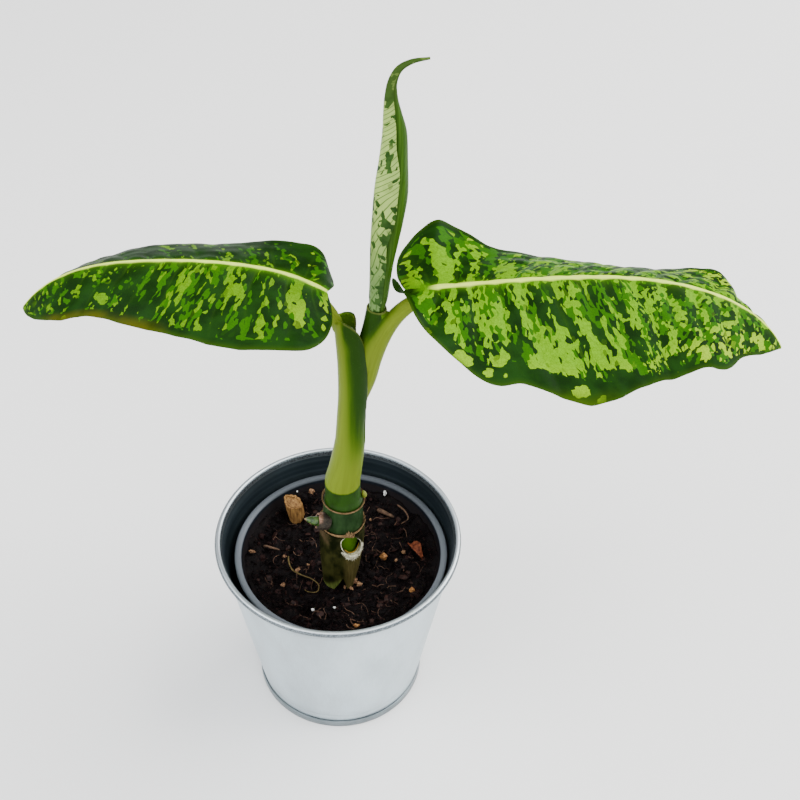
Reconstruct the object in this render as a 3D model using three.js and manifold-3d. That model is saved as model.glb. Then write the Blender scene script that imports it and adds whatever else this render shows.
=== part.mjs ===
// A dieffenbachia in a grower's pot, standing in a tapered zinc cachepot.
// Millimetres, +Z up. The origin is on the cachepot's axis, on the surface that it stands on.
// +X runs towards the tip of the right leaf, and -Y is the side from which the plant is usually seen.

import * as THREE from "three";
import { mergeVertices } from "three/addons/utils/BufferGeometryUtils.js";
import Module from "manifold-3d";

const wasm = await Module();
wasm.setup();

// ---------------------------------------------------------------- driving dimensions

const GAP = 0.3; // clearance kept between pieces that touch
const ROUND = 40; // facets round a pot

const cachepot = {
  height: 120,
  rimRadius: 70, // outside of the rolled rim
  beadRadius: 1.8, // the roll itself
  footRadius: 50.35, // outside of the crimped foot ring
  footHeight: 5,
  sheet: 0.9,
  baseSheet: 0.8,
  recess: 1.4, // how far the base panel is pressed up round its flat centre
  padRadius: 30, // flat centre of the base, level with the foot ring
  crimpWall: 0.7,
  crimpPlay: 0.85, // room at the slot's floor, which the widening wall takes up higher on
  rollInset: 3.3, // the sheet starts to roll this far inside the rim's edge
  rollDepth: 3, // and this far under its top
  pressLine: 12, // a faint line pressed in round the wall, just over the foot
  pressDepth: 0.35,
};

const grower = {
  shiftX: 1.5, // it sits a little off the cachepot's axis
  top: 106,
  lipRadius: 61.2,
  floorRadius: 42,
  wall: 1.2,
  rimDepth: 10, // the stepped-out band under the lip
  drainHoles: 6,
  drainRadius: 4.5,
  drainCircle: 30,
  slope: 0.153, // how fast its wall widens with height
};

const soilTop = 92;

// The true stem, from its buried foot to the crown: x, y, z, radius.
const caneLine = [
  [0.6, -11.0, 56, 7.0],
  [0.9, -10.5, 92, 7.2],
  [1.4, -9.4, 105, 8.0],
  [1.9, -8.2, 114, 8.6],
  [2.4, -7.2, 126, 9.2],
  [2.6, -6.8, 133, 10.1],
  [2.8, -6.5, 137.5, 11.2],
  [3.0, -6.1, 141.5, 11.5],
  [3.3, -5.8, 146, 11.1],
  [3.5, -5.4, 152, 10.8],
  [3.6, -5.2, 156.5, 10.7],
  [3.5, -5.1, 158.5, 9.9],
  [3.3, -5.0, 165.0, 9.6],
  [3.3, -5.0, 168.2, 9.5],
];

// ---------------------------------------------------------------- materials

const material = (name, color, roughness, metalness = 0) =>
  new THREE.MeshStandardMaterial({ name, color, roughness, metalness });

const zinc = material("zinc", 0xaab0b4, 0.42, 0.9);
const zincEdge = material("zinc_edge", 0x7d858b, 0.45, 0.9);
const darkPlastic = material("dark_plastic", 0x3a4249, 0.45);
const peat = material("peat", 0x1d1512, 0.95);
const caneGreen = material("cane_green", 0x2e5a2b, 0.5);
const driedHusk = material("dried_husk", 0xb08a5b, 0.85);
const oliveHusk = material("olive_husk", 0x4d4f25, 0.7);
const budGreen = material("bud_green", 0x4f7d2a, 0.5);
const stalkGreen = material("stalk_green", 0x8fa63c, 0.45);
const leafGreen = material("leaf_green", 0x3c7a1f, 0.35);
const youngGreen = material("young_green", 0x9fb98a, 0.5);

// ---------------------------------------------------------------- curves and closed surfaces

const rad = THREE.MathUtils.degToRad;

// A smooth curve y(x) through knots [x, y, ...]; returns the interpolated values after x.
function through(knots, x) {
  const last = knots.length - 1;
  if (x <= knots[0][0]) return knots[0].slice(1);
  if (x >= knots[last][0]) return knots[last].slice(1);
  const i = knots.findIndex((knot) => knot[0] > x) - 1;
  const slope = (k, c) => {
    const before = knots[Math.max(k - 1, 0)];
    const after = knots[Math.min(k + 1, last)];
    return (after[c] - before[c]) / (after[0] - before[0]);
  };
  const span = knots[i + 1][0] - knots[i][0];
  const t = (x - knots[i][0]) / span;
  return knots[i].slice(1).map((value, k) => {
    const c = k + 1;
    const end = knots[i + 1][c];
    return (
      (2 * t ** 3 - 3 * t ** 2 + 1) * value +
      (t ** 3 - 2 * t ** 2 + t) * span * slope(i, c) +
      (3 * t ** 2 - 2 * t ** 3) * end +
      (t ** 3 - t ** 2) * span * slope(i + 1, c)
    );
  });
}

function geometryOf(points, faces) {
  const geometry = new THREE.BufferGeometry();
  geometry.setAttribute("position", new THREE.Float32BufferAttribute(points.flat(), 3));
  geometry.setIndex(faces.flat());
  geometry.computeVertexNormals();
  return geometry;
}

// A closed skin over rings of points, each ring turning left about the way from first to last.
// A plain ring is capped by a fan. A folded ring is an outer run and an inner run back, of equal
// length, and is capped by a strip between the two.
function skin(rings, folded = false) {
  const count = rings[0].length;
  const points = rings.flat();
  const faces = [];
  const at = (i, j) => i * count + (j % count);
  for (let i = 0; i < rings.length - 1; i++) {
    for (let j = 0; j < count; j++) {
      faces.push([at(i, j), at(i, j + 1), at(i + 1, j + 1)]);
      faces.push([at(i, j), at(i + 1, j + 1), at(i + 1, j)]);
    }
  }
  const last = rings.length - 1;
  if (folded) {
    for (let j = 0; j < count / 2 - 1; j++) {
      const [a, b, c, d] = [j, j + 1, count - 2 - j, count - 1 - j];
      faces.push([at(last, a), at(last, b), at(last, c)], [at(last, a), at(last, c), at(last, d)]);
      faces.push([at(0, a), at(0, c), at(0, b)], [at(0, a), at(0, d), at(0, c)]);
    }
  } else {
    for (const [i, way] of [[0, -1], [last, 1]]) {
      const middle = rings[i].reduce((sum, p) => sum.map((s, k) => s + p[k] / count), [0, 0, 0]);
      const centre = points.push(middle) - 1;
      for (let j = 0; j < count; j++) {
        const edge = [at(i, j), at(i, j + 1)];
        faces.push(way > 0 ? [centre, ...edge] : [centre, edge[1], edge[0]]);
      }
    }
  }
  return geometryOf(points, faces);
}

// Frames along a line of [x, y, z, ...sizes]: the place, the sizes there, and the two directions
// across it, the first of them as near to `towards` as it can be.
function framesAlong(line, steps, towards = new THREE.Vector3(1, 0, 0)) {
  const path = new THREE.CatmullRomCurve3(
    line.map(([x, y, z]) => new THREE.Vector3(x, y, z)),
    false,
    "centripetal",
  );
  return Array.from({ length: steps + 1 }, (_, i) => {
    const t = path.getUtoTmapping(i / steps);
    const tangent = path.getTangent(t);
    const across = towards.clone().addScaledVector(tangent, -towards.dot(tangent)).normalize();
    const sizes = through(line.map((knot, k) => [k, ...knot.slice(3)]), t * (line.length - 1));
    return { place: path.getPoint(t), sizes, tangent, across, over: tangent.clone().cross(across) };
  });
}

const pointIn = (frame, right, up, along = 0) =>
  frame.place
    .clone()
    .addScaledVector(frame.across, right)
    .addScaledVector(frame.over, up)
    .addScaledVector(frame.tangent, along)
    .toArray();

function roundRing(frame, radius, sides) {
  return Array.from({ length: sides }, (_, j) => {
    const turn = (2 * Math.PI * j) / sides;
    return pointIn(frame, radius * Math.cos(turn), radius * Math.sin(turn));
  });
}

// A rod of changing radius along [x, y, z, radius].
const rod = (line, sides, steps, swell = 0) =>
  skin(framesAlong(line, steps).map((frame) => roundRing(frame, frame.sizes[0] + swell, sides)));

// The same line with its foot set 1 mm lower, for the hole that the rod stands in.
const deepened = ([[x, y, z, ...sizes], ...rest]) => [[x, y, z - 1, ...sizes], ...rest];

// A rolled strip in cross-section: an arc between two angles, given thickness inwards. With a
// flare, its edges stand out from the circle.
function rolledRing(frame, radius, wall, from, to, sides, flare = 0) {
  const along = (inwards) =>
    Array.from({ length: sides }, (_, j) => {
      const turn = from + ((to - from) * j) / (sides - 1);
      const r = radius * (1 + flare * (Math.abs(turn - 180) / 180) ** 4) - inwards;
      return pointIn(frame, r * Math.cos(rad(turn)), r * Math.sin(rad(turn)));
    });
  return [...along(0), ...along(wall).reverse()];
}

// A turned solid from a closed profile of [radius, height], outside first and upwards.
function turned(profile, facets = ROUND) {
  const outline = profile.map(([r, z]) => new THREE.Vector2(r, z));
  return new THREE.LatheGeometry(outline, facets).rotateX(Math.PI / 2);
}

// ---------------------------------------------------------------- joining and cutting

function solidOf(geometry) {
  const bare = new THREE.BufferGeometry();
  bare.setAttribute("position", geometry.getAttribute("position"));
  bare.setIndex(geometry.getIndex());
  const merged = mergeVertices(bare, 1e-3);
  return new wasm.Manifold(
    new wasm.Mesh({
      numProp: 3,
      vertProperties: merged.getAttribute("position").array,
      triVerts: new Uint32Array(merged.getIndex().array),
    }),
  );
}

function meshOf(solid) {
  const { vertProperties, triVerts } = solid.getMesh();
  const geometry = new THREE.BufferGeometry();
  geometry.setAttribute("position", new THREE.BufferAttribute(vertProperties, 3));
  geometry.setIndex(new THREE.BufferAttribute(triVerts, 1));
  geometry.computeVertexNormals();
  return geometry;
}

const joined = (first, ...others) =>
  meshOf(others.reduce((whole, other) => whole.add(solidOf(other)), solidOf(first)));

const cut = (first, ...tools) =>
  meshOf(tools.reduce((left, tool) => left.subtract(solidOf(tool)), solidOf(first)));

// ---------------------------------------------------------------- pots

// The sheet wall's outer radius at a height: a straight taper from the foot to under the rim roll.
const wallFoot = {
  r: cachepot.footRadius - cachepot.crimpWall - cachepot.crimpPlay,
  z: cachepot.baseSheet + 2 * GAP,
};
const wallHead = {
  r: cachepot.rimRadius - cachepot.rollInset,
  z: cachepot.height - cachepot.rollDepth,
};
const wallRadius = (z) =>
  wallFoot.r + ((wallHead.r - wallFoot.r) * (z - wallFoot.z)) / (wallHead.z - wallFoot.z);

function cachepotWall() {
  const { sheet, beadRadius, rimRadius, height, pressLine, pressDepth } = cachepot;
  const halfWay = height / 2;
  const beadSteps = 7;
  const [beadFrom, beadTo] = [-115, 180]; // degrees round the roll, from under its outside
  const bead = Array.from({ length: beadSteps }, (_, i) => {
    const turn = rad(beadFrom + ((beadTo - beadFrom) * i) / (beadSteps - 1));
    return [
      rimRadius - beadRadius + beadRadius * Math.cos(turn),
      height - beadRadius + beadRadius * Math.sin(turn),
    ];
  });
  return turned([
    [wallFoot.r - sheet, wallFoot.z],
    [wallFoot.r, wallFoot.z],
    [wallRadius(pressLine - 1), pressLine - 1],
    [wallRadius(pressLine) - pressDepth, pressLine],
    [wallRadius(pressLine + 1), pressLine + 1],
    [wallRadius(halfWay), halfWay],
    [wallHead.r, wallHead.z - 1],
    ...bead,
    [wallHead.r - sheet, wallHead.z - 1],
    [wallRadius(halfWay) - sheet, halfWay],
    [wallFoot.r - sheet, wallFoot.z],
  ]);
}

function cachepotBase() {
  const { footRadius, footHeight, baseSheet, recess, padRadius, crimpWall } = cachepot;
  const slotOut = footRadius - crimpWall; // the wall's edge stands in the slot between these two
  const slotIn = wallFoot.r - cachepot.sheet - GAP;
  const ringIn = slotIn - 2.5; // inner edge of the ring's flat underside
  return turned([
    [0, 0],
    [padRadius, 0],
    [padRadius + 2, recess],
    [ringIn - 1, recess],
    [ringIn, 0],
    [footRadius - 0.5, 0],
    [footRadius, 0.5],
    [footRadius, footHeight - 0.4],
    [footRadius - 0.3, footHeight],
    [slotOut, footHeight],
    [slotOut, baseSheet],
    [slotIn, baseSheet],
    [slotIn, recess + baseSheet],
    [padRadius + 2, recess + baseSheet],
    [padRadius, baseSheet],
    [0, baseSheet],
  ]);
}

const growerFloor = cachepot.recess + cachepot.baseSheet + GAP; // it stands on the pressed-up base panel
const growerStep = grower.top - grower.rimDepth;
const growerWall = (z) => grower.floorRadius + grower.slope * (z - growerFloor - 1);

function nurseryPot() {
  const { top, lipRadius, wall, floorRadius } = grower;
  const bandRadius = lipRadius - 2.4;
  const shell = turned([
    [0, growerFloor],
    [floorRadius - 1, growerFloor],
    [floorRadius, growerFloor + 1],
    [growerWall(growerStep), growerStep],
    [bandRadius, growerStep + 1.2],
    [bandRadius + 0.5, top - 1.6],
    [lipRadius, top - 1.6],
    [lipRadius, top - 0.6],
    [lipRadius - 0.6, top],
    [lipRadius - 3.1, top],
    [lipRadius - 3.6, top - 0.6],
    [bandRadius - wall, growerStep + 1.2],
    [growerWall(growerStep) - wall, growerStep],
    [growerWall(growerFloor + wall + 1) - wall, growerFloor + wall + 1],
    [growerWall(growerFloor + wall) - wall - 1, growerFloor + wall],
    [0, growerFloor + wall],
  ]);
  const drains = Array.from({ length: grower.drainHoles }, (_, i) => {
    const turn = (2 * Math.PI * i) / grower.drainHoles;
    return new THREE.CylinderGeometry(grower.drainRadius, grower.drainRadius, 6 * wall, 10)
      .rotateX(Math.PI / 2)
      .translate(grower.drainCircle * Math.cos(turn), grower.drainCircle * Math.sin(turn), growerFloor);
  });
  return cut(shell, ...drains).translate(grower.shiftX, 0, 0);
}

// ---------------------------------------------------------------- soil

const stubLine = [
  [-27.3, 36, 84, 4.2],
  [-27.8, 35.8, 94, 4.7],
  [-28.8, 36.2, 100.5, 5.0],
  [-29.6, 36.6, 105.3, 4.9],
];

// The surface is lumpy, and level round the stem's foot.
function soilHeight(x, y) {
  const [footX, footY] = caneLine[1];
  const lumps =
    1.1 * Math.sin(0.21 * x + 0.13 * y) +
    0.9 * Math.sin(0.37 * x - 0.29 * y + 1) +
    0.7 * Math.sin(0.11 * x + 0.47 * y + 2) +
    0.6 * Math.cos(0.55 * x + 0.19 * y);
  const away = THREE.MathUtils.smoothstep(Math.hypot(x - footX, y - footY), 13, 24);
  return soilTop - 0.2 + away * lumps;
}

function soil() {
  const rows = 9;
  const bottom = growerFloor + grower.wall + GAP;
  const radiusAt = (z) => growerWall(z) - grower.wall - GAP;
  const ring = (radius, heightAt) =>
    Array.from({ length: ROUND }, (_, j) => {
      const turn = (2 * Math.PI * j) / ROUND;
      const [x, y] = [grower.shiftX + radius * Math.cos(turn), radius * Math.sin(turn)];
      return [x, y, heightAt(x, y)];
    });
  const rings = [ring(radiusAt(bottom) - 1.6, () => bottom), ring(radiusAt(bottom + 2), () => bottom + 2)];
  for (let i = rows; i > 0; i--) rings.push(ring((radiusAt(soilTop - 4) * i) / rows, soilHeight));
  return cut(
    skin(rings),
    rod(deepened(caneLine.slice(0, 4)), 16, 8, GAP),
    rod(deepened(stubLine), 16, 4, GAP),
  );
}

// ---------------------------------------------------------------- stem

const cane = () => rod(caneLine, 16, 24);

const caneAt = (z) => {
  const [x, y, radius] = through(caneLine.map(([cx, cy, cz, r]) => [cz, cx, cy, r]), z);
  return { x, y, radius };
};

// A papery ring left round the cane by a fallen leaf: its thin edge flares up and out.
function leafScar(z, tiltX, tiltY, depth) {
  const { x, y, radius } = caneAt(z);
  const inner = radius + GAP;
  return turned(
    [
      [inner, -depth / 2],
      [inner + 0.9, -depth / 2 + 0.3],
      [inner + 1.3, depth / 2],
      [inner + 0.8, depth / 2 + 0.2],
      [inner, depth / 2 - 0.3],
      [inner, -depth / 2],
    ],
    28,
  )
    .rotateX(rad(tiltX))
    .rotateY(rad(tiltY))
    .translate(x, y, z);
}

// Remains of an old leaf base: a tube round the cane, flaring upwards, with an oval window cut
// in its front right and a notch that leaves two legs standing on the soil.
function oldSheath() {
  const line = [
    [0.9, -10.5, soilTop + 1.0, 9.4, 1.3],
    [1.4, -9.4, 104, 10.7, 1.2],
    [1.9, -8.2, 114, 11.8, 1.2],
    [2.5, -7.1, 126, 12.5, 1.1],
    [2.8, -6.5, 137.5, 12.7, 1.0],
  ];
  const slit = 4; // half of the seam at the back, in degrees
  const toFront = new THREE.Vector3(0, 1, 0);
  const tube = skin(
    framesAlong(line, 8, toFront).map((frame) =>
      rolledRing(frame, frame.sizes[0], frame.sizes[1], slit, 360 - slit, 25),
    ),
    true,
  );
  const window = new THREE.SphereGeometry(1, 12, 8).scale(6.4, 9, 9.2).translate(9.0, -19.5, 129.5);
  const lean = new THREE.Matrix4().makeShear(0, 0, 0, 0, 0.16, 0); // the notch opens to the left
  const notch = new THREE.CylinderGeometry(0.3, 11, 13, 4)
    .rotateX(Math.PI / 2)
    .scale(0.42, 1.2, 1)
    .applyMatrix4(lean)
    .translate(2.8, -20, 98);
  return cut(tube, window, notch);
}

// What grows from the side of the stem, trimmed to the stem's round.
const besideCane = (geometry) => cut(geometry, rod(caneLine, 16, 24, GAP));

const sideBudLine = [
  [-5.4, -13.4, 146.0, 2.6],
  [-8.4, -14.2, 146.6, 2.8],
  [-11.8, -14.8, 147.7, 2.5],
  [-15.0, -15.0, 148.7, 1.5],
  [-17.2, -15.0, 149.2, 0.3],
];

const sideBud = () => besideCane(rod(sideBudLine, 10, 8));

function sideBudBract() {
  const line = [
    [-4.2, -13.2, 145.2, 4.6],
    [-6.8, -13.8, 146.3, 5.0],
    [-10.2, -14.5, 147.4, 4.0],
  ];
  const down = new THREE.Vector3(0, 0, -1);
  const rings = framesAlong(line, 4, down).map((frame) =>
    rolledRing(frame, frame.sizes[0], 0.8, 14, 346, 15),
  );
  return besideCane(skin(rings, true));
}

const backBudLine = [
  [14.4, -4.4, 156.9, 0.9],
  [14.9, -4.5, 158.2, 1.5],
  [14.6, -4.6, 160.0, 1.3],
  [14.2, -4.7, 161.8, 0.3],
];

const backBud = () => besideCane(rod(backBudLine, 10, 6));

// A hollow, dried stub, cut off aslant so that its left side ends in a point.
function dryStub() {
  const sides = 16;
  const wall = 1.5;
  const frames = framesAlong(stubLine, 4);
  const slant = (turn) => 2.2 * Math.cos(turn - rad(170)) ** 3 - 1.4 * Math.cos(turn + rad(50));
  const lip = (radius, drop) => {
    const frame = frames[frames.length - 1];
    return Array.from({ length: sides }, (_, j) => {
      const turn = (2 * Math.PI * j) / sides;
      return pointIn(frame, radius * Math.cos(turn), radius * Math.sin(turn), slant(turn) - drop);
    });
  };
  const outer = frames.slice(0, -1).map((frame) => roundRing(frame, frame.sizes[0], sides));
  const top = frames[frames.length - 1].sizes[0];
  const pocket = roundRing(frames[2], frames[2].sizes[0] - wall, sides);
  return skin([...outer, lip(top, 0), lip(top - wall, 0.3), pocket]);
}

// ---------------------------------------------------------------- stalks and sheaths

// The left stalk: solid at its foot, then a sheath rolled round the right stalk, whose two edges
// draw back to the left near the top and leave the round stalk on its own.
// Each row: x, y, z, radius, wall, degrees from the opening's middle to the rear and front edges,
// and how far the edges flare.
const leftStalk = [
  [3.3, -5.0, 168.9, 9.6],
  [3.35, -5.0, 170.5, 9.5],
  [4.4, -5.0, 177, 9.0],
  [6.2, -5.0, 189, 8.4],
  [7.6, -5.0, 201, 7.9],
];
const leftSheath = [
  [7.6, -5.0, 200, 7.9, 1.6, 5, 5, 0],
  [8.2, -5.0, 215, 7.5, 1.6, 10, 4, 0],
  [8.9, -5.0, 233, 7.2, 1.5, 62, 4, 0.16],
  [8.9, -5.0, 252, 7.2, 1.5, 86, 4, 0.18],
  [8.4, -5.0, 262, 7.1, 1.5, 86, 5, 0.16],
  [7.8, -5.0, 270, 7.0, 1.5, 78, 12, 0.11],
  [7.2, -5.0, 276, 6.8, 1.5, 70, 26, 0.05],
  [6.4, -5.0, 280.3, 6.5, 1.6, 74, 48, 0],
  [5.4, -5.0, 282.4, 6.1, 1.9, 130, 66, 0],
  [4.4, -5.0, 283.8, 5.4, 2.0, 150, 90, 0],
];
const leftNeck = [
  [2.8, -5, 276, 3.2],
  [1.0, -5, 281.5, 2.9],
  [-1.6, -5, 287, 2.7],
  [-4.6, -5, 291.3, 2.6],
  [-7.8, -5, 293.7, 2.5],
];

// The right stalk: a rod inside the left sheath, then a sheath round the young leaf, from whose
// right side the round stalk bends out to its blade.
const rightCore = [
  [7.8, -4.9, 201.6, 5.6],
  [8.3, -4.9, 214, 5.4],
  [9.8, -4.2, 224, 5.4],
  [11.6, -3.2, 234, 5.4],
  [13.4, -2.8, 246, 5.5],
  [15.2, -2.8, 257, 5.6],
];
const rightSheath = [
  [14.9, -2.8, 256, 5.6, 1.5, 8, 8, 0],
  [17.4, -3.0, 267, 5.4, 1.1, 8, 8, 0],
  [19.4, -3.4, 278, 5.1, 0.9, 8, 8, 0],
  [20.8, -3.8, 288.5, 4.9, 0.7, 8, 8, 0],
];
const rightNeck = [
  [12.6, -3.1, 232, 4.6],
  [15.9, -2.9, 243, 4.9],
  [18.9, -3.1, 256, 4.7],
  [22.7, -3.7, 269, 4.5],
  [27.4, -4.4, 280, 4.2],
  [32.2, -4.9, 287.4, 3.9],
  [37.2, -5.2, 292.4, 3.6],
  [42.0, -5.5, 294.5, 3.2],
];

// What fills the groove between the sheath and the neck, up to a little under the sheath's rim.
const rightWeb = [
  [16.4, -3.0, 252, 5.0],
  [18.6, -3.2, 262, 5.0],
  [21.2, -3.6, 271.5, 4.6],
  [23.8, -4.0, 279.5, 4.2],
  [25.8, -4.2, 284.5, 3.0],
];

// The young leaf, still rolled up on itself: x, y, z, radius.
const youngLeafLine = [
  [15.6, -2.9, 258, 3.7],
  [17.4, -3.0, 267, 3.9],
  [19.4, -3.4, 278, 3.8],
  [20.8, -3.8, 288.5, 3.8],
  [21.4, -4.0, 295, 4.5],
  [22.5, -4.4, 311, 5.2],
  [24.0, -4.8, 328, 6.4],
  [25.4, -5.0, 343, 7.2],
  [26.6, -5.0, 355, 7.4],
  [27.3, -5.0, 370, 6.2],
  [27.3, -5.0, 383, 5.2],
  [26.4, -5.0, 391, 4.0],
  [25.8, -5.0, 399, 2.8],
  [26.4, -5.0, 406, 2.0],
  [29.0, -5.0, 411.5, 1.5],
  [34.0, -5.0, 414.8, 1.0],
  [41.0, -5.0, 416.5, 0.45],
];

function sheathTube(line, sides, steps, towards) {
  const rings = framesAlong(line, steps, towards).map((frame) => {
    const [radius, wall, rear, front, flare] = frame.sizes;
    return rolledRing(frame, radius, wall, rear, 360 - front, sides, flare);
  });
  return skin(rings, true);
}

const openSide = new THREE.Vector3(1, -0.25, 0).normalize(); // where the left sheath's edges meet

// The left sheath's inside is pressed to the shape of the right stalk, which leaves through it.
const petioleLeft = () =>
  cut(
    joined(
      rod(leftStalk, 18, 4),
      sheathTube(leftSheath, 17, 14, openSide),
      rod(leftNeck, 12, 6),
    ),
    rod(rightCore, 14, 8, GAP),
    rod(rightSheath, 15, 4, GAP),
    rod(rightNeck, 12, 10, GAP),
    rod(rightWeb, 12, 5, GAP),
  );

const petioleRight = () =>
  cut(
    joined(
      rod(rightCore, 14, 8),
      sheathTube(rightSheath, 15, 4, new THREE.Vector3(0.3, 1, 0).normalize()),
      rod(rightNeck, 12, 10),
      rod(rightWeb, 12, 5),
    ),
    rod(deepened(youngLeafLine.slice(0, 5)), 13, 10, GAP + 0.1),
  );

// ---------------------------------------------------------------- blades

// A blade is drawn flat, as distance along the midrib (a) against distance out to the side (b).
// The midrib arches: a rise row holds a share of its length, and its rise in degrees there.
// Each half then droops about it. A droop row holds a, the droop at the midrib, the droop at
// 60 mm out, all along the rib; a wave row holds the share of the margin, and the lift there.
const droopReach = 60;

const rightBlade = {
  base: [38.4, -5, 300.2],
  length: 181,
  heading: -8,
  rise: [
    [0, 15], [0.2, 14.5], [0.4, 10.4], [0.5, 5.9], [0.6, -0.8], [0.7, -10.3], [0.8, -23.1], [0.9, -39.7], [1, -60.5],
  ],
  halves: [
    {
      side: 1, // the half nearer to -Y
      outline: [
        [-4, 0.2], [-6.4, 4], [-7.4, 10], [-6.2, 16.5], [-3.8, 15.5], [-1.5, 15.5], [1, 18], [3.5, 22], [6.5, 26],
        [13.5, 34], [27, 46], [35, 51.5], [42, 53.5], [51, 52], [64, 56], [84, 58.5], [104, 53.5], [122, 43],
        [139, 36], [152, 33.5], [160, 21], [172, 11], [181, 0],
      ],
      droop: [
        [-8, -25, -330], [-4, -15, -300], [-1, -10, -180], [5, 0, -25], [14, 2, 12], [45, 15, 35], [90, 25, 45],
        [136, 25, 45], [181, 20, 40],
      ],
      waves: [[0, 0], [0.3, 0], [0.42, 1.5], [0.52, -1], [0.62, 2], [0.71, -3], [0.8, 3], [0.9, -2], [1, 0]],
    },
    {
      side: -1,
      outline: [
        [-4.5, 0.2], [-7.5, 5], [-12, 17], [-13, 30], [-6, 39], [5, 45], [20, 50], [40, 54], [65, 57],
        [85, 56], [105, 52], [125, 44], [145, 33], [165, 18], [176, 7], [181, 0],
      ],
      droop: [
        [-12.5, 0, -1], [6, -6, -10], [12, -1, -2], [18, 4, 7], [28, 12, 20], [57, 20, 34], [95, 25, 41],
        [120, 24, 39], [138, 17, 29], [147, 13, 22], [156, 21, 34], [168, 23, 38], [181, 20, 35],
      ],
      waves: [[0, 0], [0.1, -2], [0.2, 2], [0.3, -1], [0.5, 1], [1, 0]],
    },
  ],
};

const leftBlade = {
  base: [-3.2, -5, 298],
  length: 158.5,
  heading: 177.5,
  rise: [
    [0, 33.5], [0.07, 24.2], [0.14, 15.8], [0.24, 6.5], [0.35, 1], [0.45, -3.2], [0.55, -6.6], [0.64, -11.5],
    [0.72, -19.5], [0.8, -29], [0.88, -39], [0.95, -48], [1, -54],
  ],
  halves: [
    {
      side: 1,
      outline: [
        [-1, 1], [-4, 8], [-6, 15], [-5.5, 23], [1, 32], [14, 38.5], [35, 43], [60, 44], [85, 40],
        [105, 35], [125, 26], [143, 16], [153, 8.5], [157, 4], [158.5, 0],
      ],
      droop: [
        [-7, 20, 34], [3, 8, 14], [16, 12, 20], [42, 18, 30], [82, 21, 35], [100, 22, 35], [114, 25, 35],
        [128, 24, 33], [158.5, 21, 30],
      ],
      waves: [[0, 0], [0.3, 1], [0.45, -1], [0.6, 1], [1, 0]],
    },
    {
      side: -1, // the half nearer to -Y
      outline: [
        [-1, 1], [-3, 6], [-5.5, 14], [-6, 23], [-3, 34], [4, 42], [17, 44.3], [39, 44.5], [64, 40.5],
        [90, 32], [104, 27.5], [116, 25.5], [128, 24], [140, 18.5], [150, 12.5], [156.5, 5.5], [158.5, 0],
      ],
      droop: [[-6, 0, 5], [0, 0, 5], [39, 10, 30], [78, 18, 38], [118, 20, 40], [158.5, 20, 40]],
      waves: [[0, 0], [0.35, -1], [0.5, 1.5], [0.65, -1.5], [0.78, 0.5], [0.9, -1], [1, 0]],
    },
  ],
};

// The midrib in space: places every step along it, with the heading and rise there.
function ribOf(blade) {
  const steps = 60;
  const step = blade.length / steps;
  const heading = rad(blade.heading);
  const direction = (share) => {
    const rise = rad(through(blade.rise, share)[0]);
    return new THREE.Vector3(
      Math.cos(heading) * Math.cos(rise),
      Math.sin(heading) * Math.cos(rise),
      Math.sin(rise),
    );
  };
  const places = [new THREE.Vector3(...blade.base)];
  for (let i = 0; i < steps; i++)
    places.push(places[i].clone().addScaledVector(direction((i + 0.5) / steps), step));
  return (a) => {
    const share = a / blade.length;
    const along = direction(share);
    const sideways = new THREE.Vector3(along.y, -along.x, 0).normalize();
    const normal = sideways.clone().cross(along);
    const i = THREE.MathUtils.clamp(Math.floor(a / step), 0, steps - 1);
    const place = places[i].clone().addScaledVector(along, a - i * step);
    return { place, along, sideways, normal };
  };
}

// A point of the blade's middle surface, from its flat place.
function bladePoint(rib, half, a, b) {
  const frame = rib(a);
  const [atRib, atReach] = through(half.droop, a).map(rad);
  const slices = 8;
  let out = 0;
  let down = 0;
  for (let k = 0; k < slices; k++) {
    const droop = atRib + ((atReach - atRib) * (b * (k + 0.5))) / slices / droopReach;
    out += (Math.cos(droop) * b) / slices;
    down += (Math.sin(droop) * b) / slices;
  }
  return frame.place
    .clone()
    .addScaledVector(frame.sideways, half.side * out)
    .addScaledVector(frame.normal, -down);
}

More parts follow.
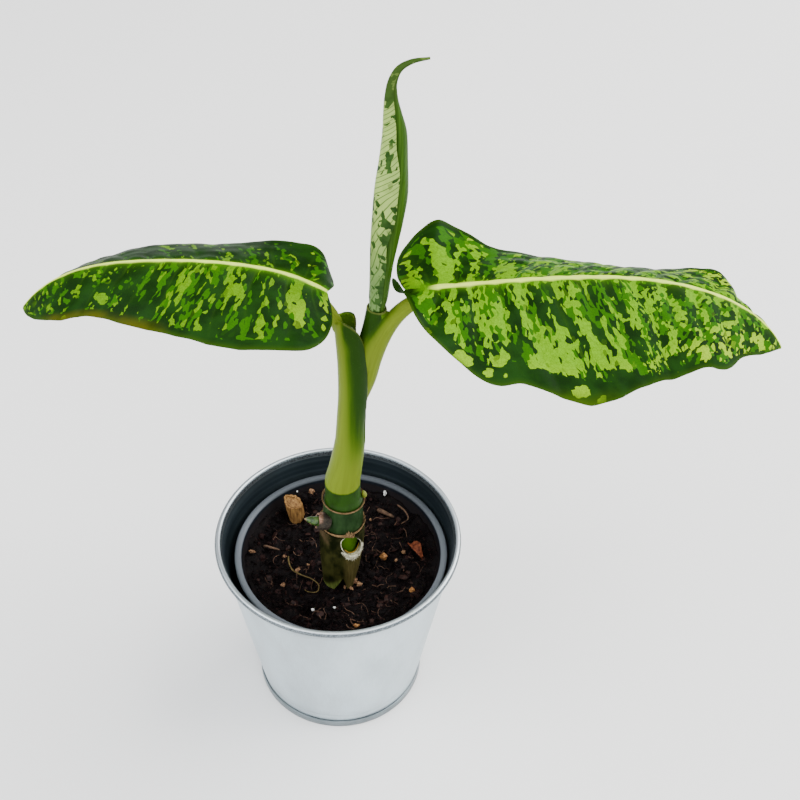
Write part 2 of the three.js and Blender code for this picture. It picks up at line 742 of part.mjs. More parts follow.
function bladeSolid(blade, { rows, columns, thickness, ribDepth, ribWidth }) {
  const rib = ribOf(blade);
  const margins = blade.halves.map(
    (half) =>
      new THREE.CatmullRomCurve3(
        half.outline.map(([a, b]) => new THREE.Vector3(a, b, 0)),
        false,
        "centripetal",
      ),
  );
  // One row of the grid runs from one margin, over the midrib, to the other, along two veins.
  const veinRoot = (share) => blade.length * share ** 1.6;
  const flat = (h, share, v) => {
    const root = veinRoot(share);
    const margin = margins[h].getPointAt(share);
    const sweep = 0.25 * (1 - v) * v * (margin.x - root); // veins leave steeply, and bend to the tip
    return [root + (margin.x - root) * v - sweep, margin.y * v];
  };
  const middle = (share, column) => {
    const h = column < 0 ? 1 : 0;
    const v = Math.abs(column) / columns;
    const [a, b] = flat(h, share, v);
    const [lift] = through(blade.halves[h].waves, share);
    return bladePoint(rib, blade.halves[h], a, b).addScaledVector(rib(a).normal, lift * v ** 2.5);
  };
  const width = 2 * columns + 1;
  const grid = [];
  for (let i = 0; i < rows; i++)
    grid.push(Array.from({ length: width }, (_, j) => middle((i + 0.4) / rows, j - columns)));
  const normalAt = (i, j) => {
    const alongRow = grid[i][Math.min(j + 1, width - 1)].clone().sub(grid[i][Math.max(j - 1, 0)]);
    const next = grid[Math.min(i + 1, rows - 1)][j];
    const alongColumn = next.clone().sub(grid[Math.max(i - 1, 0)][j]);
    return alongRow.cross(alongColumn).normalize();
  };
  const points = [];
  for (let i = 0; i < rows; i++)
    for (let j = 0; j < width; j++) {
      const normal = normalAt(i, j);
      const fromRib = Math.abs(j - columns) / columns;
      const share = (i + 0.4) / rows;
      const bulge = ribDepth * (1 - share) ** 0.7 * Math.exp(-((fromRib / ribWidth) ** 2));
      points.push(grid[i][j].clone().addScaledVector(normal, thickness / 2).toArray());
      points.push(grid[i][j].clone().addScaledVector(normal, -thickness / 2 - bulge).toArray());
    }
  const tip = points.push(rib(blade.length).place.toArray()) - 1;
  const top = (i, j) => 2 * (i * width + j);
  const under = (i, j) => top(i, j) + 1;
  const faces = [];
  const quad = (a, b, c, d) => faces.push([a, b, c], [a, c, d]);
  for (let i = 0; i < rows - 1; i++) {
    for (let j = 0; j < width - 1; j++) {
      quad(top(i, j), top(i, j + 1), top(i + 1, j + 1), top(i + 1, j));
      faces.push([under(i, j), under(i + 1, j + 1), under(i, j + 1)]);
      faces.push([under(i, j), under(i + 1, j), under(i + 1, j + 1)]);
    }
    quad(under(i, 0), top(i, 0), top(i + 1, 0), under(i + 1, 0));
    quad(top(i, width - 1), under(i, width - 1), under(i + 1, width - 1), top(i + 1, width - 1));
  }
  const end = rows - 1;
  for (let j = 0; j < width - 1; j++) {
    quad(under(0, j), under(0, j + 1), top(0, j + 1), top(0, j));
    faces.push([top(end, j), top(end, j + 1), tip], [under(end, j + 1), under(end, j), tip]);
  }
  faces.push([under(end, 0), top(end, 0), tip], [top(end, width - 1), under(end, width - 1), tip]);
  return geometryOf(points, faces);
}

const bladeMesh = { rows: 28, columns: 7, thickness: 0.7, ribDepth: 2.6, ribWidth: 0.09 };

function youngLeaf() {
  const seamSide = new THREE.Vector3(0.6, -0.8, 0);
  const rings = framesAlong(youngLeafLine, 28, seamSide).map((frame) => {
    const radius = frame.sizes[0];
    const wall = Math.min(0.9, 0.6 * radius);
    return rolledRing(frame, radius, wall, 9, 351, 13);
  });
  return skin(rings, true);
}

// ---------------------------------------------------------------- assembly

const plant = new THREE.Group();
plant.name = "potted_dieffenbachia";

function add(name, geometry, finish) {
  const mesh = new THREE.Mesh(geometry, finish);
  mesh.name = name;
  plant.add(mesh);
}

add("cachepot_wall", cachepotWall(), zinc);
add("cachepot_base", cachepotBase(), zincEdge);
add("nursery_pot", nurseryPot(), darkPlastic);
add("soil", soil(), peat);
add("cane", cane(), caneGreen);
add("lower_leaf_scar", leafScar(140.0, 3, 0, 1.6), driedHusk);
add("upper_leaf_scar", leafScar(156.2, 0, 4, 1.2), driedHusk);
add("old_sheath", oldSheath(), oliveHusk);
add("side_bud", sideBud(), budGreen);
add("side_bud_bract", sideBudBract(), driedHusk);
add("back_bud", backBud(), budGreen);
add("dry_stub", dryStub(), driedHusk);
add("petiole_left", petioleLeft(), stalkGreen);
add("petiole_right", petioleRight(), stalkGreen);
add("blade_left", bladeSolid(leftBlade, bladeMesh), leafGreen);
add("blade_right", bladeSolid(rightBlade, bladeMesh), leafGreen);
add("young_leaf", youngLeaf(), youngGreen);

export default plant;
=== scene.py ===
"""The looks of a potted dieffenbachia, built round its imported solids.

The file is laid out as an add-on: each operator makes one piece or one group of like pieces. Run as a
script, it makes them all. Lengths are millimetres in the object's own frame (+Z up, origin under the pot,
-Y towards the usual viewer), and MM turns them into Blender's metres.
"""

import math
import random
from types import SimpleNamespace

import bpy
import numpy as np
from bpy.props import FloatProperty, FloatVectorProperty, IntProperty, PointerProperty
from mathutils import Matrix, Vector, noise


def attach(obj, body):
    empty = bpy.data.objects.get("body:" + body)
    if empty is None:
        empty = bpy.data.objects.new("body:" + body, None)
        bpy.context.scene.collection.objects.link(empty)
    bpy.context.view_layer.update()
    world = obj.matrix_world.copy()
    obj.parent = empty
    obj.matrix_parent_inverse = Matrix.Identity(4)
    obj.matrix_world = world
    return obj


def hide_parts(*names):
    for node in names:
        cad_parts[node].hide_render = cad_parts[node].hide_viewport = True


bl_info = {
    "name": "Potted dieffenbachia",
    "version": (1, 0, 0),
    "blender": (4, 5, 0),
    "location": "3D View > Sidebar > Plant",
    "description": "Builds a potted dieffenbachia round its packed solids",
    "category": "Add Mesh",
}

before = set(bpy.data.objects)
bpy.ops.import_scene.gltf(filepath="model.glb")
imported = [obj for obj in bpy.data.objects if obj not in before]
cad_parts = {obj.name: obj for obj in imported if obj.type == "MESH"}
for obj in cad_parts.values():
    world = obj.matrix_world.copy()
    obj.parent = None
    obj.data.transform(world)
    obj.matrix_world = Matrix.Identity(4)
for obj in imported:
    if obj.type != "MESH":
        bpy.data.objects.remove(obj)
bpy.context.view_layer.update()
MM = 0.001

# ------------------------------------------------------------------------------------------ settings


def millimetres(name, description, size):
    return FloatProperty(name=name, description=description, default=size * MM, unit="LENGTH", precision=4)


def count(name, description, number):
    return IntProperty(name=name, description=description, default=number, min=1)


def colour(name, description, red, green, blue):
    return FloatVectorProperty(
        name=name, description=description, subtype="COLOR", size=3, min=0, max=1, default=(red, green, blue)
    )


def amount(name, description, value):
    return FloatProperty(name=name, description=description, default=value)


class PotSettings(bpy.types.PropertyGroup):
    facets: count("Facets", "Facets round each pot", 160)
    height: millimetres("Height", "Height of the zinc pot", 120)
    rim_radius: millimetres("Rim radius", "Outside of the zinc pot's rolled rim", 70)
    bead_radius: millimetres("Bead radius", "Radius of the roll of the rim itself", 1.8)
    foot_radius: millimetres("Foot radius", "Outside of the crimped foot ring", 50.35)
    foot_height: millimetres("Foot height", "Height of the crimped foot ring", 5)
    sheet: millimetres("Sheet", "Thickness of the zinc-coated wall", 0.9)
    zinc: colour("Zinc", "Colour of the zinc-coated wall", 0.5, 0.58, 0.62)
    plastic: colour("Plastic", "Colour of the grower's pot", 0.004, 0.006, 0.009)


class SoilSettings(bpy.types.PropertyGroup):
    level: millimetres("Level", "Height of the soil round the stem", 92)
    seed: count("Seed", "Where the crumbs fall", 7)
    crumbs: count("Crumbs", "Number of crumbs of peat", 5200)
    chips: count("Chips", "Number of bark chips", 70)
    fibres: count("Fibres", "Number of fine roots and fibres", 110)
    peat: colour("Peat", "Colour of the damp peat", 0.0026, 0.0016, 0.0018)


class PlantSettings(bpy.types.PropertyGroup):
    vein_rows: count("Rows", "Rows of a blade's mesh, along its veins", 176)
    vein_columns: count("Columns", "Columns of a blade's mesh, on each side of the midrib", 38)
    quilting: millimetres("Quilting", "How far the blade swells between its veins", 1.7)
    dark: colour("Dark green", "Ground colour of a blade", 0.0035, 0.0165, 0.0016)
    middle: colour("Middle green", "The darker blotches", 0.02, 0.1, 0.0005)
    lime: colour("Lime", "The bright blotches", 0.13, 0.31, 0.0005)
    pale: colour("Pale", "The palest blotches, near tip and margin", 0.24, 0.4, 0.004)
    rib: colour("Midrib", "The cream midrib", 0.66, 0.82, 0.1)
    stalk_pale: colour("Pale stalk", "Pale yellow-green of a stalk", 0.14, 0.19, 0.014)
    stalk_dark: colour("Dark stalk", "Dark green of a sheath's front", 0.0115, 0.036, 0.0025)
    cane: colour("Cane", "Dark green of the true stem", 0.006, 0.018, 0.001)
    husk: colour("Husk", "Dry papery tan", 0.36, 0.22, 0.11)
    silver: colour("Silver", "Underside of the rolled leaf", 0.2, 0.35, 0.1)


class StageSettings(bpy.types.PropertyGroup):
    lens: amount("Lens", "Focal length of the camera, in millimetres", 54)
    tilt: amount("Tilt", "How far the camera looks down, in degrees", 43.0955)
    roll: amount("Roll", "How far the camera is turned about its own line of sight, in degrees", 1.6514)
    key: amount("Key", "Power of the large soft light, in watts", 95)
    fill: amount("Fill", "Power of the fill light, in watts", 14)
    sky: amount("Sky", "Strength of the light from all round", 2.1)
    floor: colour("Floor", "Colour of the floor", 0.9, 0.895, 0.885)


# ------------------------------------------------------------------------------------------ handling pieces


def take(*pieces):
    """Leaves just these pieces selected, with the first of them active."""
    if bpy.context.object and bpy.context.object.mode != "OBJECT":
        bpy.ops.object.mode_set(mode="OBJECT")
    bpy.ops.object.select_all(action="DESELECT")
    for piece in pieces:
        piece.select_set(True)
    bpy.context.view_layer.objects.active = pieces[0] if pieces else None


def modify(piece, kind, **settings):
    """Adds one modifier with these settings and applies it."""
    take(piece)
    modifier = piece.modifiers.new(kind.title(), kind)
    for key, value in settings.items():
        setattr(modifier, key, value)
    bpy.ops.object.modifier_apply(modifier=modifier.name)


def new_piece(name, points, faces):
    """A piece from points in millimetres and faces."""
    mesh = bpy.data.meshes.new(name)
    mesh.from_pydata((np.asarray(points, float) * MM).tolist(), [], faces)
    mesh.update()
    piece = bpy.data.objects.new(name, mesh)
    bpy.context.scene.collection.objects.link(piece)
    return piece


def metres(*lengths):
    return tuple(length * MM for length in lengths)


def primitive(kind, **settings):
    """A new primitive of Blender's own, as the only piece selected."""
    take()
    getattr(bpy.ops.mesh, f"primitive_{kind}_add")(**settings)
    return bpy.context.object


def gathered(name, parts):
    """One piece of many parts, each of them (points, faces)."""
    points, faces, first = [], [], 0
    for places, sides in parts:
        points.append(places)
        faces += [[first + v for v in face] for face in sides]
        first += len(places)
    return new_piece(name, np.vstack(points), faces)


def settle(piece, finishes, replaces=(), sharp=45):
    """Finishes a piece: its place goes into its mesh, it is shaded and painted, and it rides on the pot."""
    take(piece)
    bpy.ops.object.transform_apply(location=True, rotation=True, scale=True)
    bpy.ops.object.shade_smooth_by_angle(angle=math.radians(sharp))
    for finish in finishes:
        piece.data.materials.append(finish)
    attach(piece, "root")
    if replaces:
        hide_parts(*replaces)
    return piece


def places_of(piece):
    """The piece's points as an array, in millimetres."""
    flat = np.empty(len(piece.data.vertices) * 3)
    piece.data.vertices.foreach_get("co", flat)
    return flat.reshape(-1, 3) / MM


def move_points(piece, points):
    piece.data.vertices.foreach_set("co", (np.asarray(points) * MM).ravel())
    piece.data.update()


def note(piece, name, values):
    """Keeps a number for each point of a piece, for its finish to read."""
    attribute = piece.data.attributes.new(name, "FLOAT", "POINT")
    attribute.data.foreach_set("value", np.asarray(values, np.float32).ravel())


def lay_out(piece, name, flat):
    """Adds a UV map from a flat place for each point."""
    layer = piece.data.uv_layers.new(name=name)
    corners = np.empty(len(piece.data.loops), int)
    piece.data.loops.foreach_get("vertex_index", corners)
    layer.data.foreach_set("uv", np.asarray(flat, float)[corners].ravel())


# ------------------------------------------------------------------------------------------ curves and skins


def rising(value, start, width):
    """0 up to the start, and 1 from one width after it."""
    return np.clip((value - start) / width, 0, 1)


def falling(value, end, width):
    """1 up to one width before the end, and 0 from the end on."""
    return np.clip((end - value) / width, 0, 1)


def circle(sides):
    """The turns of evenly spaced sides, in radians."""
    return np.linspace(0, math.tau, sides, endpoint=False)


def hermite(t, start, leave, end, arrive, span=1.0):
    """A cubic from start to end, with these slopes where it leaves and arrives."""
    return (
        (2 * t**3 - 3 * t**2 + 1) * start
        + (t**3 - 2 * t**2 + t) * span * leave
        + (3 * t**2 - 2 * t**3) * end
        + (t**3 - t**2) * span * arrive
    )


def through(knots, x):
    """The values on a smooth curve through rows of (x, values...)."""
    table = np.array(knots, float)
    at, values = table[:, 0], table[:, 1:]
    x = np.clip(np.asarray(x, float), at[0], at[-1])
    k = np.arange(len(at))
    before, after = np.maximum(k - 1, 0), np.minimum(k + 1, len(at) - 1)
    slopes = (values[after] - values[before]) / (at[after] - at[before])[:, None]
    i = np.clip(np.searchsorted(at, x, side="right") - 1, 0, len(at) - 2)
    span = (at[i + 1] - at[i])[..., None]
    t = (x - at[i])[..., None] / span
    return hermite(t, values[i], slopes[i], values[i + 1], slopes[i + 1], span)


def smoothed(points):
    """Points along a rounded curve through these, and the knot number of each."""
    per_span = 30
    p = np.array(points, float)
    p = np.vstack([2 * p[0] - p[1], p, 2 * p[-1] - p[-2]])
    t = np.linspace(0, 1, per_span, endpoint=False)[:, None]
    places, knots = [], []
    for k in range(len(points) - 1):
        a, b, c, d = p[k : k + 4]
        ab, bc, cd = (max(np.linalg.norm(step), 1e-6) ** 0.5 for step in (b - a, c - b, d - c))
        leave = ((b - a) / ab - (c - a) / (ab + bc) + (c - b) / bc) * bc
        arrive = ((c - b) / bc - (d - b) / (bc + cd) + (d - c) / cd) * bc
        places.append(hermite(t, b, leave, c, arrive))
        knots.append(k + t[:, 0])
    places.append(p[-2][None])
    knots.append([len(points) - 1])
    return np.vstack(places), np.concatenate(knots)


def run_of(places):
    """How far along a line of points each of them lies."""
    return np.concatenate([[0], np.cumsum(np.linalg.norm(np.diff(places, axis=0), axis=1))])


def unit(vectors):
    return vectors / np.maximum(np.linalg.norm(vectors, axis=-1, keepdims=True), 1e-12)


def frames_along(line, steps, towards=(1, 0, 0)):
    """Evenly spaced frames along rows of (x, y, z, sizes...)."""
    dense, knot = smoothed([row[:3] for row in line])
    run = run_of(dense)
    at = np.linspace(0, run[-1], steps + 1)
    place = np.stack([np.interp(at, run, dense[:, k]) for k in range(3)], 1)
    sizes = through([(k, *row[3:]) for k, row in enumerate(line)], np.interp(at, run, knot))
    tangent = unit(np.gradient(place, axis=0))
    towards = np.array(towards, float)
    across = unit(towards - tangent * (tangent @ towards)[:, None])
    return SimpleNamespace(
        place=place, tangent=tangent, across=across, over=np.cross(tangent, across), sizes=sizes, run=at
    )


def rings(frames, turn, radius):
    """Rings of points round the frames, from turns in radians and radii."""
    turn, radius = np.broadcast_arrays(turn, radius)
    return (
        frames.place[:, None]
        + frames.across[:, None] * (radius * np.cos(turn))[..., None]
        + frames.over[:, None] * (radius * np.sin(turn))[..., None]
    )


def wrap_faces(count, sides):
    i, j = np.meshgrid(np.arange(count - 1), np.arange(sides), indexing="ij")
    following = (j + 1) % sides
    corners = [i * sides + j, i * sides + following, (i + 1) * sides + following, (i + 1) * sides + j]
    return np.stack(corners, -1).reshape(-1, 4).tolist()


def grid_faces(rows, columns):
    i, j = np.meshgrid(np.arange(rows - 1), np.arange(columns - 1), indexing="ij")
    corner = (i * columns + j).ravel()
    return np.stack([corner, corner + 1, corner + columns + 1, corner + columns], 1)


def end_fans(sides, last, foot, head):
    """Triangles that close the first ring round the point foot and the last one round the point head."""
    faces = []
    for j in range(sides):
        k = (j + 1) % sides
        faces += [[foot, k, j], [head, last + j, last + k]]
    return faces


def rod(name, line, sides=48, steps=60, swell=0.0, relief=None):
    """A closed rod along rows of (x, y, z, radius); relief adds to the radius at (run, turn)."""
    frames = frames_along(line, steps)
    turn = circle(sides)[None]
    radius = frames.sizes[:, :1] + swell + 0 * turn
    if relief:
        radius = radius + relief(frames, turn)
    points = rings(frames, turn, radius).reshape(-1, 3)
    ends = [frames.place[0], frames.place[-1]]
    faces = wrap_faces(steps + 1, sides) + end_fans(sides, steps * sides, len(points), len(points) + 1)
    return new_piece(name, np.vstack([points, ends]), faces)


def rolled(name, frames, turn, radius, wall):
    """An open, rolled sheet: turns and radii per ring, and its thickness inwards."""
    wall = np.broadcast_to(wall, radius.shape)
    outer, inner = rings(frames, turn, radius), rings(frames, turn, radius - wall)
    points = np.concatenate([outer, inner[:, ::-1]], axis=1)
    count, sides = points.shape[:2]
    faces = wrap_faces(count, sides)
    last = (count - 1) * sides
    for j in range(sides // 2 - 1):
        a, b, c, d = j, j + 1, sides - 2 - j, sides - 1 - j
        faces += [[last + a, last + b, last + c, last + d], [a, d, c, b]]
    return new_piece(name, points.reshape(-1, 3), faces)


def turned(name, profile, facets, centre_x=0.0, capped=False):
    """A turned piece: a circle drawn up ring by ring through (radius, height) rows."""
    (radius, height), *rest = profile
    x = centre_x * MM
    piece = primitive("circle", vertices=facets, radius=radius * MM, location=(x, 0, height * MM))
    piece.name = piece.data.name = name
    bpy.ops.object.transform_apply(location=True, rotation=False, scale=False)
    bpy.ops.object.mode_set(mode="EDIT")
    bpy.ops.mesh.select_all(action="SELECT")
    for next_radius, next_height in rest:
        bpy.ops.mesh.extrude_region_move(
            TRANSFORM_OT_translate={"value": (0, 0, (next_height - height) * MM)}
        )
        widen = next_radius / radius
        bpy.ops.transform.resize(value=(widen, widen, 1), center_override=(x, 0, next_height * MM))
        radius, height = next_radius, next_height
    bpy.ops.mesh.select_all(action="SELECT")
    bpy.ops.mesh.remove_doubles(threshold=1e-6)
    if capped:
        bpy.ops.mesh.select_all(action="DESELECT")
        bpy.ops.mesh.select_non_manifold()
        bpy.ops.mesh.fill_holes(sides=0)
        bpy.ops.mesh.select_all(action="SELECT")
    bpy.ops.mesh.normals_make_consistent(inside=False)
    bpy.ops.object.mode_set(mode="OBJECT")
    return piece


def merged(first, *others):
    take(first, *others)
    bpy.ops.object.join()
    return first


def fused(parts, voxel):
    """Joins overlapping solids into one skin that flows from each to the next."""
    whole = merged(*parts)
    modify(whole, "REMESH", mode="VOXEL", voxel_size=voxel * MM, use_smooth_shade=True)
    modify(whole, "SMOOTH", factor=0.5, iterations=5)
    return whole


def carve(piece, *cutters):
    """Takes the cutters' shapes out of a piece."""
    for cutter in cutters:
        modify(piece, "BOOLEAN", operation="DIFFERENCE", solver="EXACT", object=cutter)
        bpy.data.objects.remove(cutter)


def ruffle(turn, waves, level):
    """A smooth random number from -1 to 1 for each turn, the same again after a whole one."""
    return np.array([noise.noise(Vector((waves * math.cos(t), waves * math.sin(t), level))) for t in turn])


def keep_largest(piece):
    """Drops the loose scraps that a cut can leave."""
    take(piece)
    bpy.ops.object.mode_set(mode="EDIT")
    bpy.ops.mesh.separate(type="LOOSE")
    bpy.ops.object.mode_set(mode="OBJECT")
    made = sorted(bpy.context.selected_objects, key=lambda o: -len(o.data.vertices))
    name = piece.name
    for scrap in made[1:]:
        if scrap is not piece:
            bpy.data.objects.remove(scrap)
    if made[0] is not piece:
        piece.data = made[0].data
        bpy.data.objects.remove(made[0])
    piece.name = name


def ripple(points, size, seed=0.0):
    """A smooth random number from -1 to 1 for each point, with features of about this size."""
    offset = Vector((seed * 17.3, seed * 5.1, seed * 9.7))
    return np.array([noise.noise(Vector(point) / size + offset) for point in np.asarray(points)])


# ------------------------------------------------------------------------------------------ finishes


def shaded(tone, by):
    return tuple(by * part for part in tone)


class Nodes:
    """Short names for the nodes that the finishes and the sky share."""

    def __init__(self, tree):
        self.tree = tree

    def join(self, socket, value):
        """Links a node's output to the socket, or sets the socket to a value."""
        if isinstance(value, bpy.types.NodeSocket):
            self.tree.links.new(value, socket)
        else:
            socket.default_value = (*value, 1) if socket.type == "RGBA" else value

    def add(self, kind, inputs, output=0, **settings):
        node = self.tree.nodes.new(kind)
        for key, value in settings.items():
            setattr(node, key, value)
        for key, value in inputs.items():
            self.join(node.inputs[key], value)
        return node.outputs[output]

    def math(self, operation, a, b, clamp=False):
        return self.add("ShaderNodeMath", {0: a, 1: b}, operation=operation, use_clamp=clamp)

    def times(self, a, b):
        return self.math("MULTIPLY", a, b)

    def plus(self, a, b, clamp=False):
        return self.math("ADD", a, b, clamp)

    def rise(self, value, low, high, start=0.0, end=1.0):
        """Goes smoothly from start to end as the value goes from low to high."""
        inputs = {"Value": value, "From Min": low, "From Max": high, "To Min": start, "To Max": end}
        return self.add("ShaderNodeMapRange", inputs, interpolation_type="SMOOTHSTEP")

    def split(self, vector, axis):
        return self.add("ShaderNodeSeparateXYZ", {0: vector}, axis)


class Finish(Nodes):
    """One procedural material."""

    def __init__(self, name, roughness=0.5, **sockets):
        self.material = bpy.data.materials.new(name)
        self.material.use_nodes = True
        super().__init__(self.material.node_tree)
        self.shader = self.tree.nodes["Principled BSDF"]
        self.shader.inputs["Roughness"].default_value = roughness
        for socket, value in sockets.items():
            self.shader.inputs[socket.replace("_", " ")].default_value = value

    def place(self, scale=(1, 1, 1)):
        """The place on the object in millimetres, scaled."""
        at = self.add("ShaderNodeTexCoord", {}, "Object")
        return self.stretched(at, tuple(s / MM for s in scale))

    def coordinate(self, axis):
        """How far along X, Y or Z a place lies, in millimetres."""
        return self.split(self.place(), axis)

    def flat(self, name, scale=(1, 1, 1)):
        """A UV map of the piece, scaled."""
        return self.stretched(self.add("ShaderNodeUVMap", {}, uv_map=name), scale)

    def stretched(self, vector, scale, offset=(0, 0, 0), turn=0.0):
        inputs = {"Vector": vector, "Scale": scale, "Location": offset, "Rotation": (0, 0, turn)}
        return self.add("ShaderNodeMapping", inputs)

    def wavy(self, vector, wave, by):
        """Shifts a flat place sideways by a wave."""
        aside = self.add("ShaderNodeCombineXYZ", {0: self.times(wave, by), 1: 0.0})
        return self.add("ShaderNodeVectorMath", {0: vector, 1: aside}, operation="ADD")

    def noted(self, name):
        return self.add("ShaderNodeAttribute", {}, "Fac", attribute_name=name)

    def noise(self, at, scale=1.0, detail=3.0, roughness=0.5):
        inputs = {"Vector": at, "Scale": scale, "Detail": detail, "Roughness": roughness}
        return self.add("ShaderNodeTexNoise", inputs, "Fac")

    def cells(self, at, scale=1.0, output="Distance", feature="F1"):
        inputs = {"Vector": at, "Scale": scale}
        return self.add("ShaderNodeTexVoronoi", inputs, output, feature=feature)

    def mix(self, share, a, b):
        return self.add("ShaderNodeMix", {0: share, 6: a, 7: b}, 2, data_type="RGBA", blend_type="MIX")

    def fade(self, value, low, high, a, b):
        """Goes from colour a to colour b as the value goes from low to high."""
        return self.mix(self.rise(value, low, high), a, b)

    def blend(self, share, a, b):
        return self.add("ShaderNodeMix", {0: share, 2: a, 3: b}, data_type="FLOAT")

    def coat(self, colour, roughness=None, heights=()):
        """Plugs in the colour, the roughness and the bumps, each of them (height, strength, depth in mm)."""
        self.join(self.shader.inputs["Base Color"], colour)
        if roughness is not None:
            self.join(self.shader.inputs["Roughness"], roughness)
        normal = None
        for height, strength, depth in heights:
            inputs = {"Height": height, "Strength": strength, "Distance": depth * MM}
            if normal is not None:
                inputs["Normal"] = normal
            normal = self.add("ShaderNodeBump", inputs)
        if normal is not None:
            self.join(self.shader.inputs["Normal"], normal)
        return self.material


def zinc_finish(name, tone, tone_shift=0.0, inside=False):
    """Zinc-coated sheet: satin, faintly clouded, with fine vertical rolling marks."""
    foot_clear, foot_darkest = 22, 8
    roll_under, highlight_band = (116.7, 117.0), (119.5, 119.8)
    f = Finish(name, 0.38, Metallic=0.85)
    cloud = f.noise(f.place((0.04, 0.04, 0.02)), 1, 4)
    rolling = f.noise(f.place((0.9, 0.9, 0.015)), 1, 3)
    speck = f.noise(f.place(), 1.3, 2)
    shade = f.plus(f.times(cloud, 0.8), f.times(rolling, 0.2))
    colour = f.fade(shade, 0.3, 0.7, shaded(tone, 0.86), shaded(tone, 1.1))
    height = f.coordinate("Z")
    # Darker towards the foot, in patches.
    patches = f.rise(f.noise(f.place((0.08, 0.08, 0.3))), 0.35, 0.75)
    foot = f.times(f.rise(height, foot_clear, foot_darkest), patches)
    colour = f.mix(f.times(foot, 0.35 + tone_shift), colour, shaded(tone, 0.55))
    rough = f.rise(f.plus(f.times(speck, 0.4), f.times(cloud, 0.6)), 0.2, 0.8, 0.3, 0.48)
    if inside:
        # Painted shade: the inside of the pot is painted a much darker blue-grey, with faint bands round it.
        rings = f.noise(f.place((0.002, 0.002, 0.16)), 1, 2)
        shaded_inside = f.fade(rings, 0.4, 0.65, (0.03, 0.047, 0.058), (0.075, 0.105, 0.122))
        colour = f.mix(f.noted("inside"), colour, shaded_inside)
        # Painted reflection: the rolled rim is painted a darker, speckled grey, with a painted highlight
        # along its top.
        roll = f.fade(speck, 0.35, 0.65, (0.07, 0.085, 0.095), (0.2, 0.23, 0.25))
        roll = f.fade(height, *highlight_band, roll, (0.6, 0.66, 0.7))
        colour = f.fade(height, *roll_under, colour, roll)
    return f.coat(colour, rough, [(speck, 0.05, 0.2), (rolling, 0.02, 0.3)])


def plastic_finish(name, tone):
    """Moulded dark plastic with a glossier rim, which carries a painted sheen that turns to painted shade
    towards the back.
    """
    rim_from, strip_from = (104.2, 105.2), (104, 102)
    f = Finish(name, 0.42, Specular_IOR_Level=0.12)
    scuff = f.noise(f.place((0.15, 0.15, 0.15)), 1, 5, 0.65)
    grain = f.noise(f.place(), 2.2, 2)
    height = f.coordinate("Z")
    colour = f.fade(scuff, 0.4, 0.8, tone, shaded(tone, 2.2))
    colour = f.fade(height, *strip_from, colour, (0.011, 0.0092, 0.01))
    # Painted sheen and shade: the rim is painted a paler blue-grey, brighter in front and darker towards the
    # back.
    tone_shift = f.fade(f.coordinate("Y"), 10, 50, (0.13, 0.145, 0.165), (0.06, 0.068, 0.078))
    colour = f.fade(height, *rim_from, colour, tone_shift)
    return f.coat(colour, f.rise(scuff, 0.3, 0.8, 0.34, 0.5), [(grain, 0.1, 0.1)])


def peat_finish(name, tone):
    """Damp peat: nearly black, with brown crumbs, and here and there a wet glint."""
    f = Finish(name, 0.7, Specular_IOR_Level=0.05)
    clump = f.noise(f.place(), 0.35, 5, 0.7)
    fine = f.noise(f.place(), 1.6, 4, 0.7)
    own = f.noted("shade")
    brown = f.fade(own, 0.7, 1.0, tone, (0.016, 0.007, 0.0065))
    colour = f.fade(clump, 0.5, 0.75, brown, (0.013, 0.0068, 0.0058))
    return f.coat(colour, f.rise(fine, 0.4, 0.7, 0.28, 0.8), [(fine, 0.8, 0.5), (clump, 0.5, 0.8)])


def plain_natural(name, low, high, scale=0.4, roughness=0.6, stretch=(1, 1, 1)):
    """A simple two-toned natural finish, such as of a pebble, twig or dry scrap."""
    f = Finish(name, roughness, Specular_IOR_Level=0.15)
    patch = f.noise(f.place(stretch), scale, 5, 0.65)
    fine = f.noise(f.place(stretch), scale * 4, 3)
    colour = f.fade(patch, 0.3, 0.7, low, high)
    return f.coat(colour, None, [(patch, 0.3, 0.4), (fine, 0.25, 0.15)])


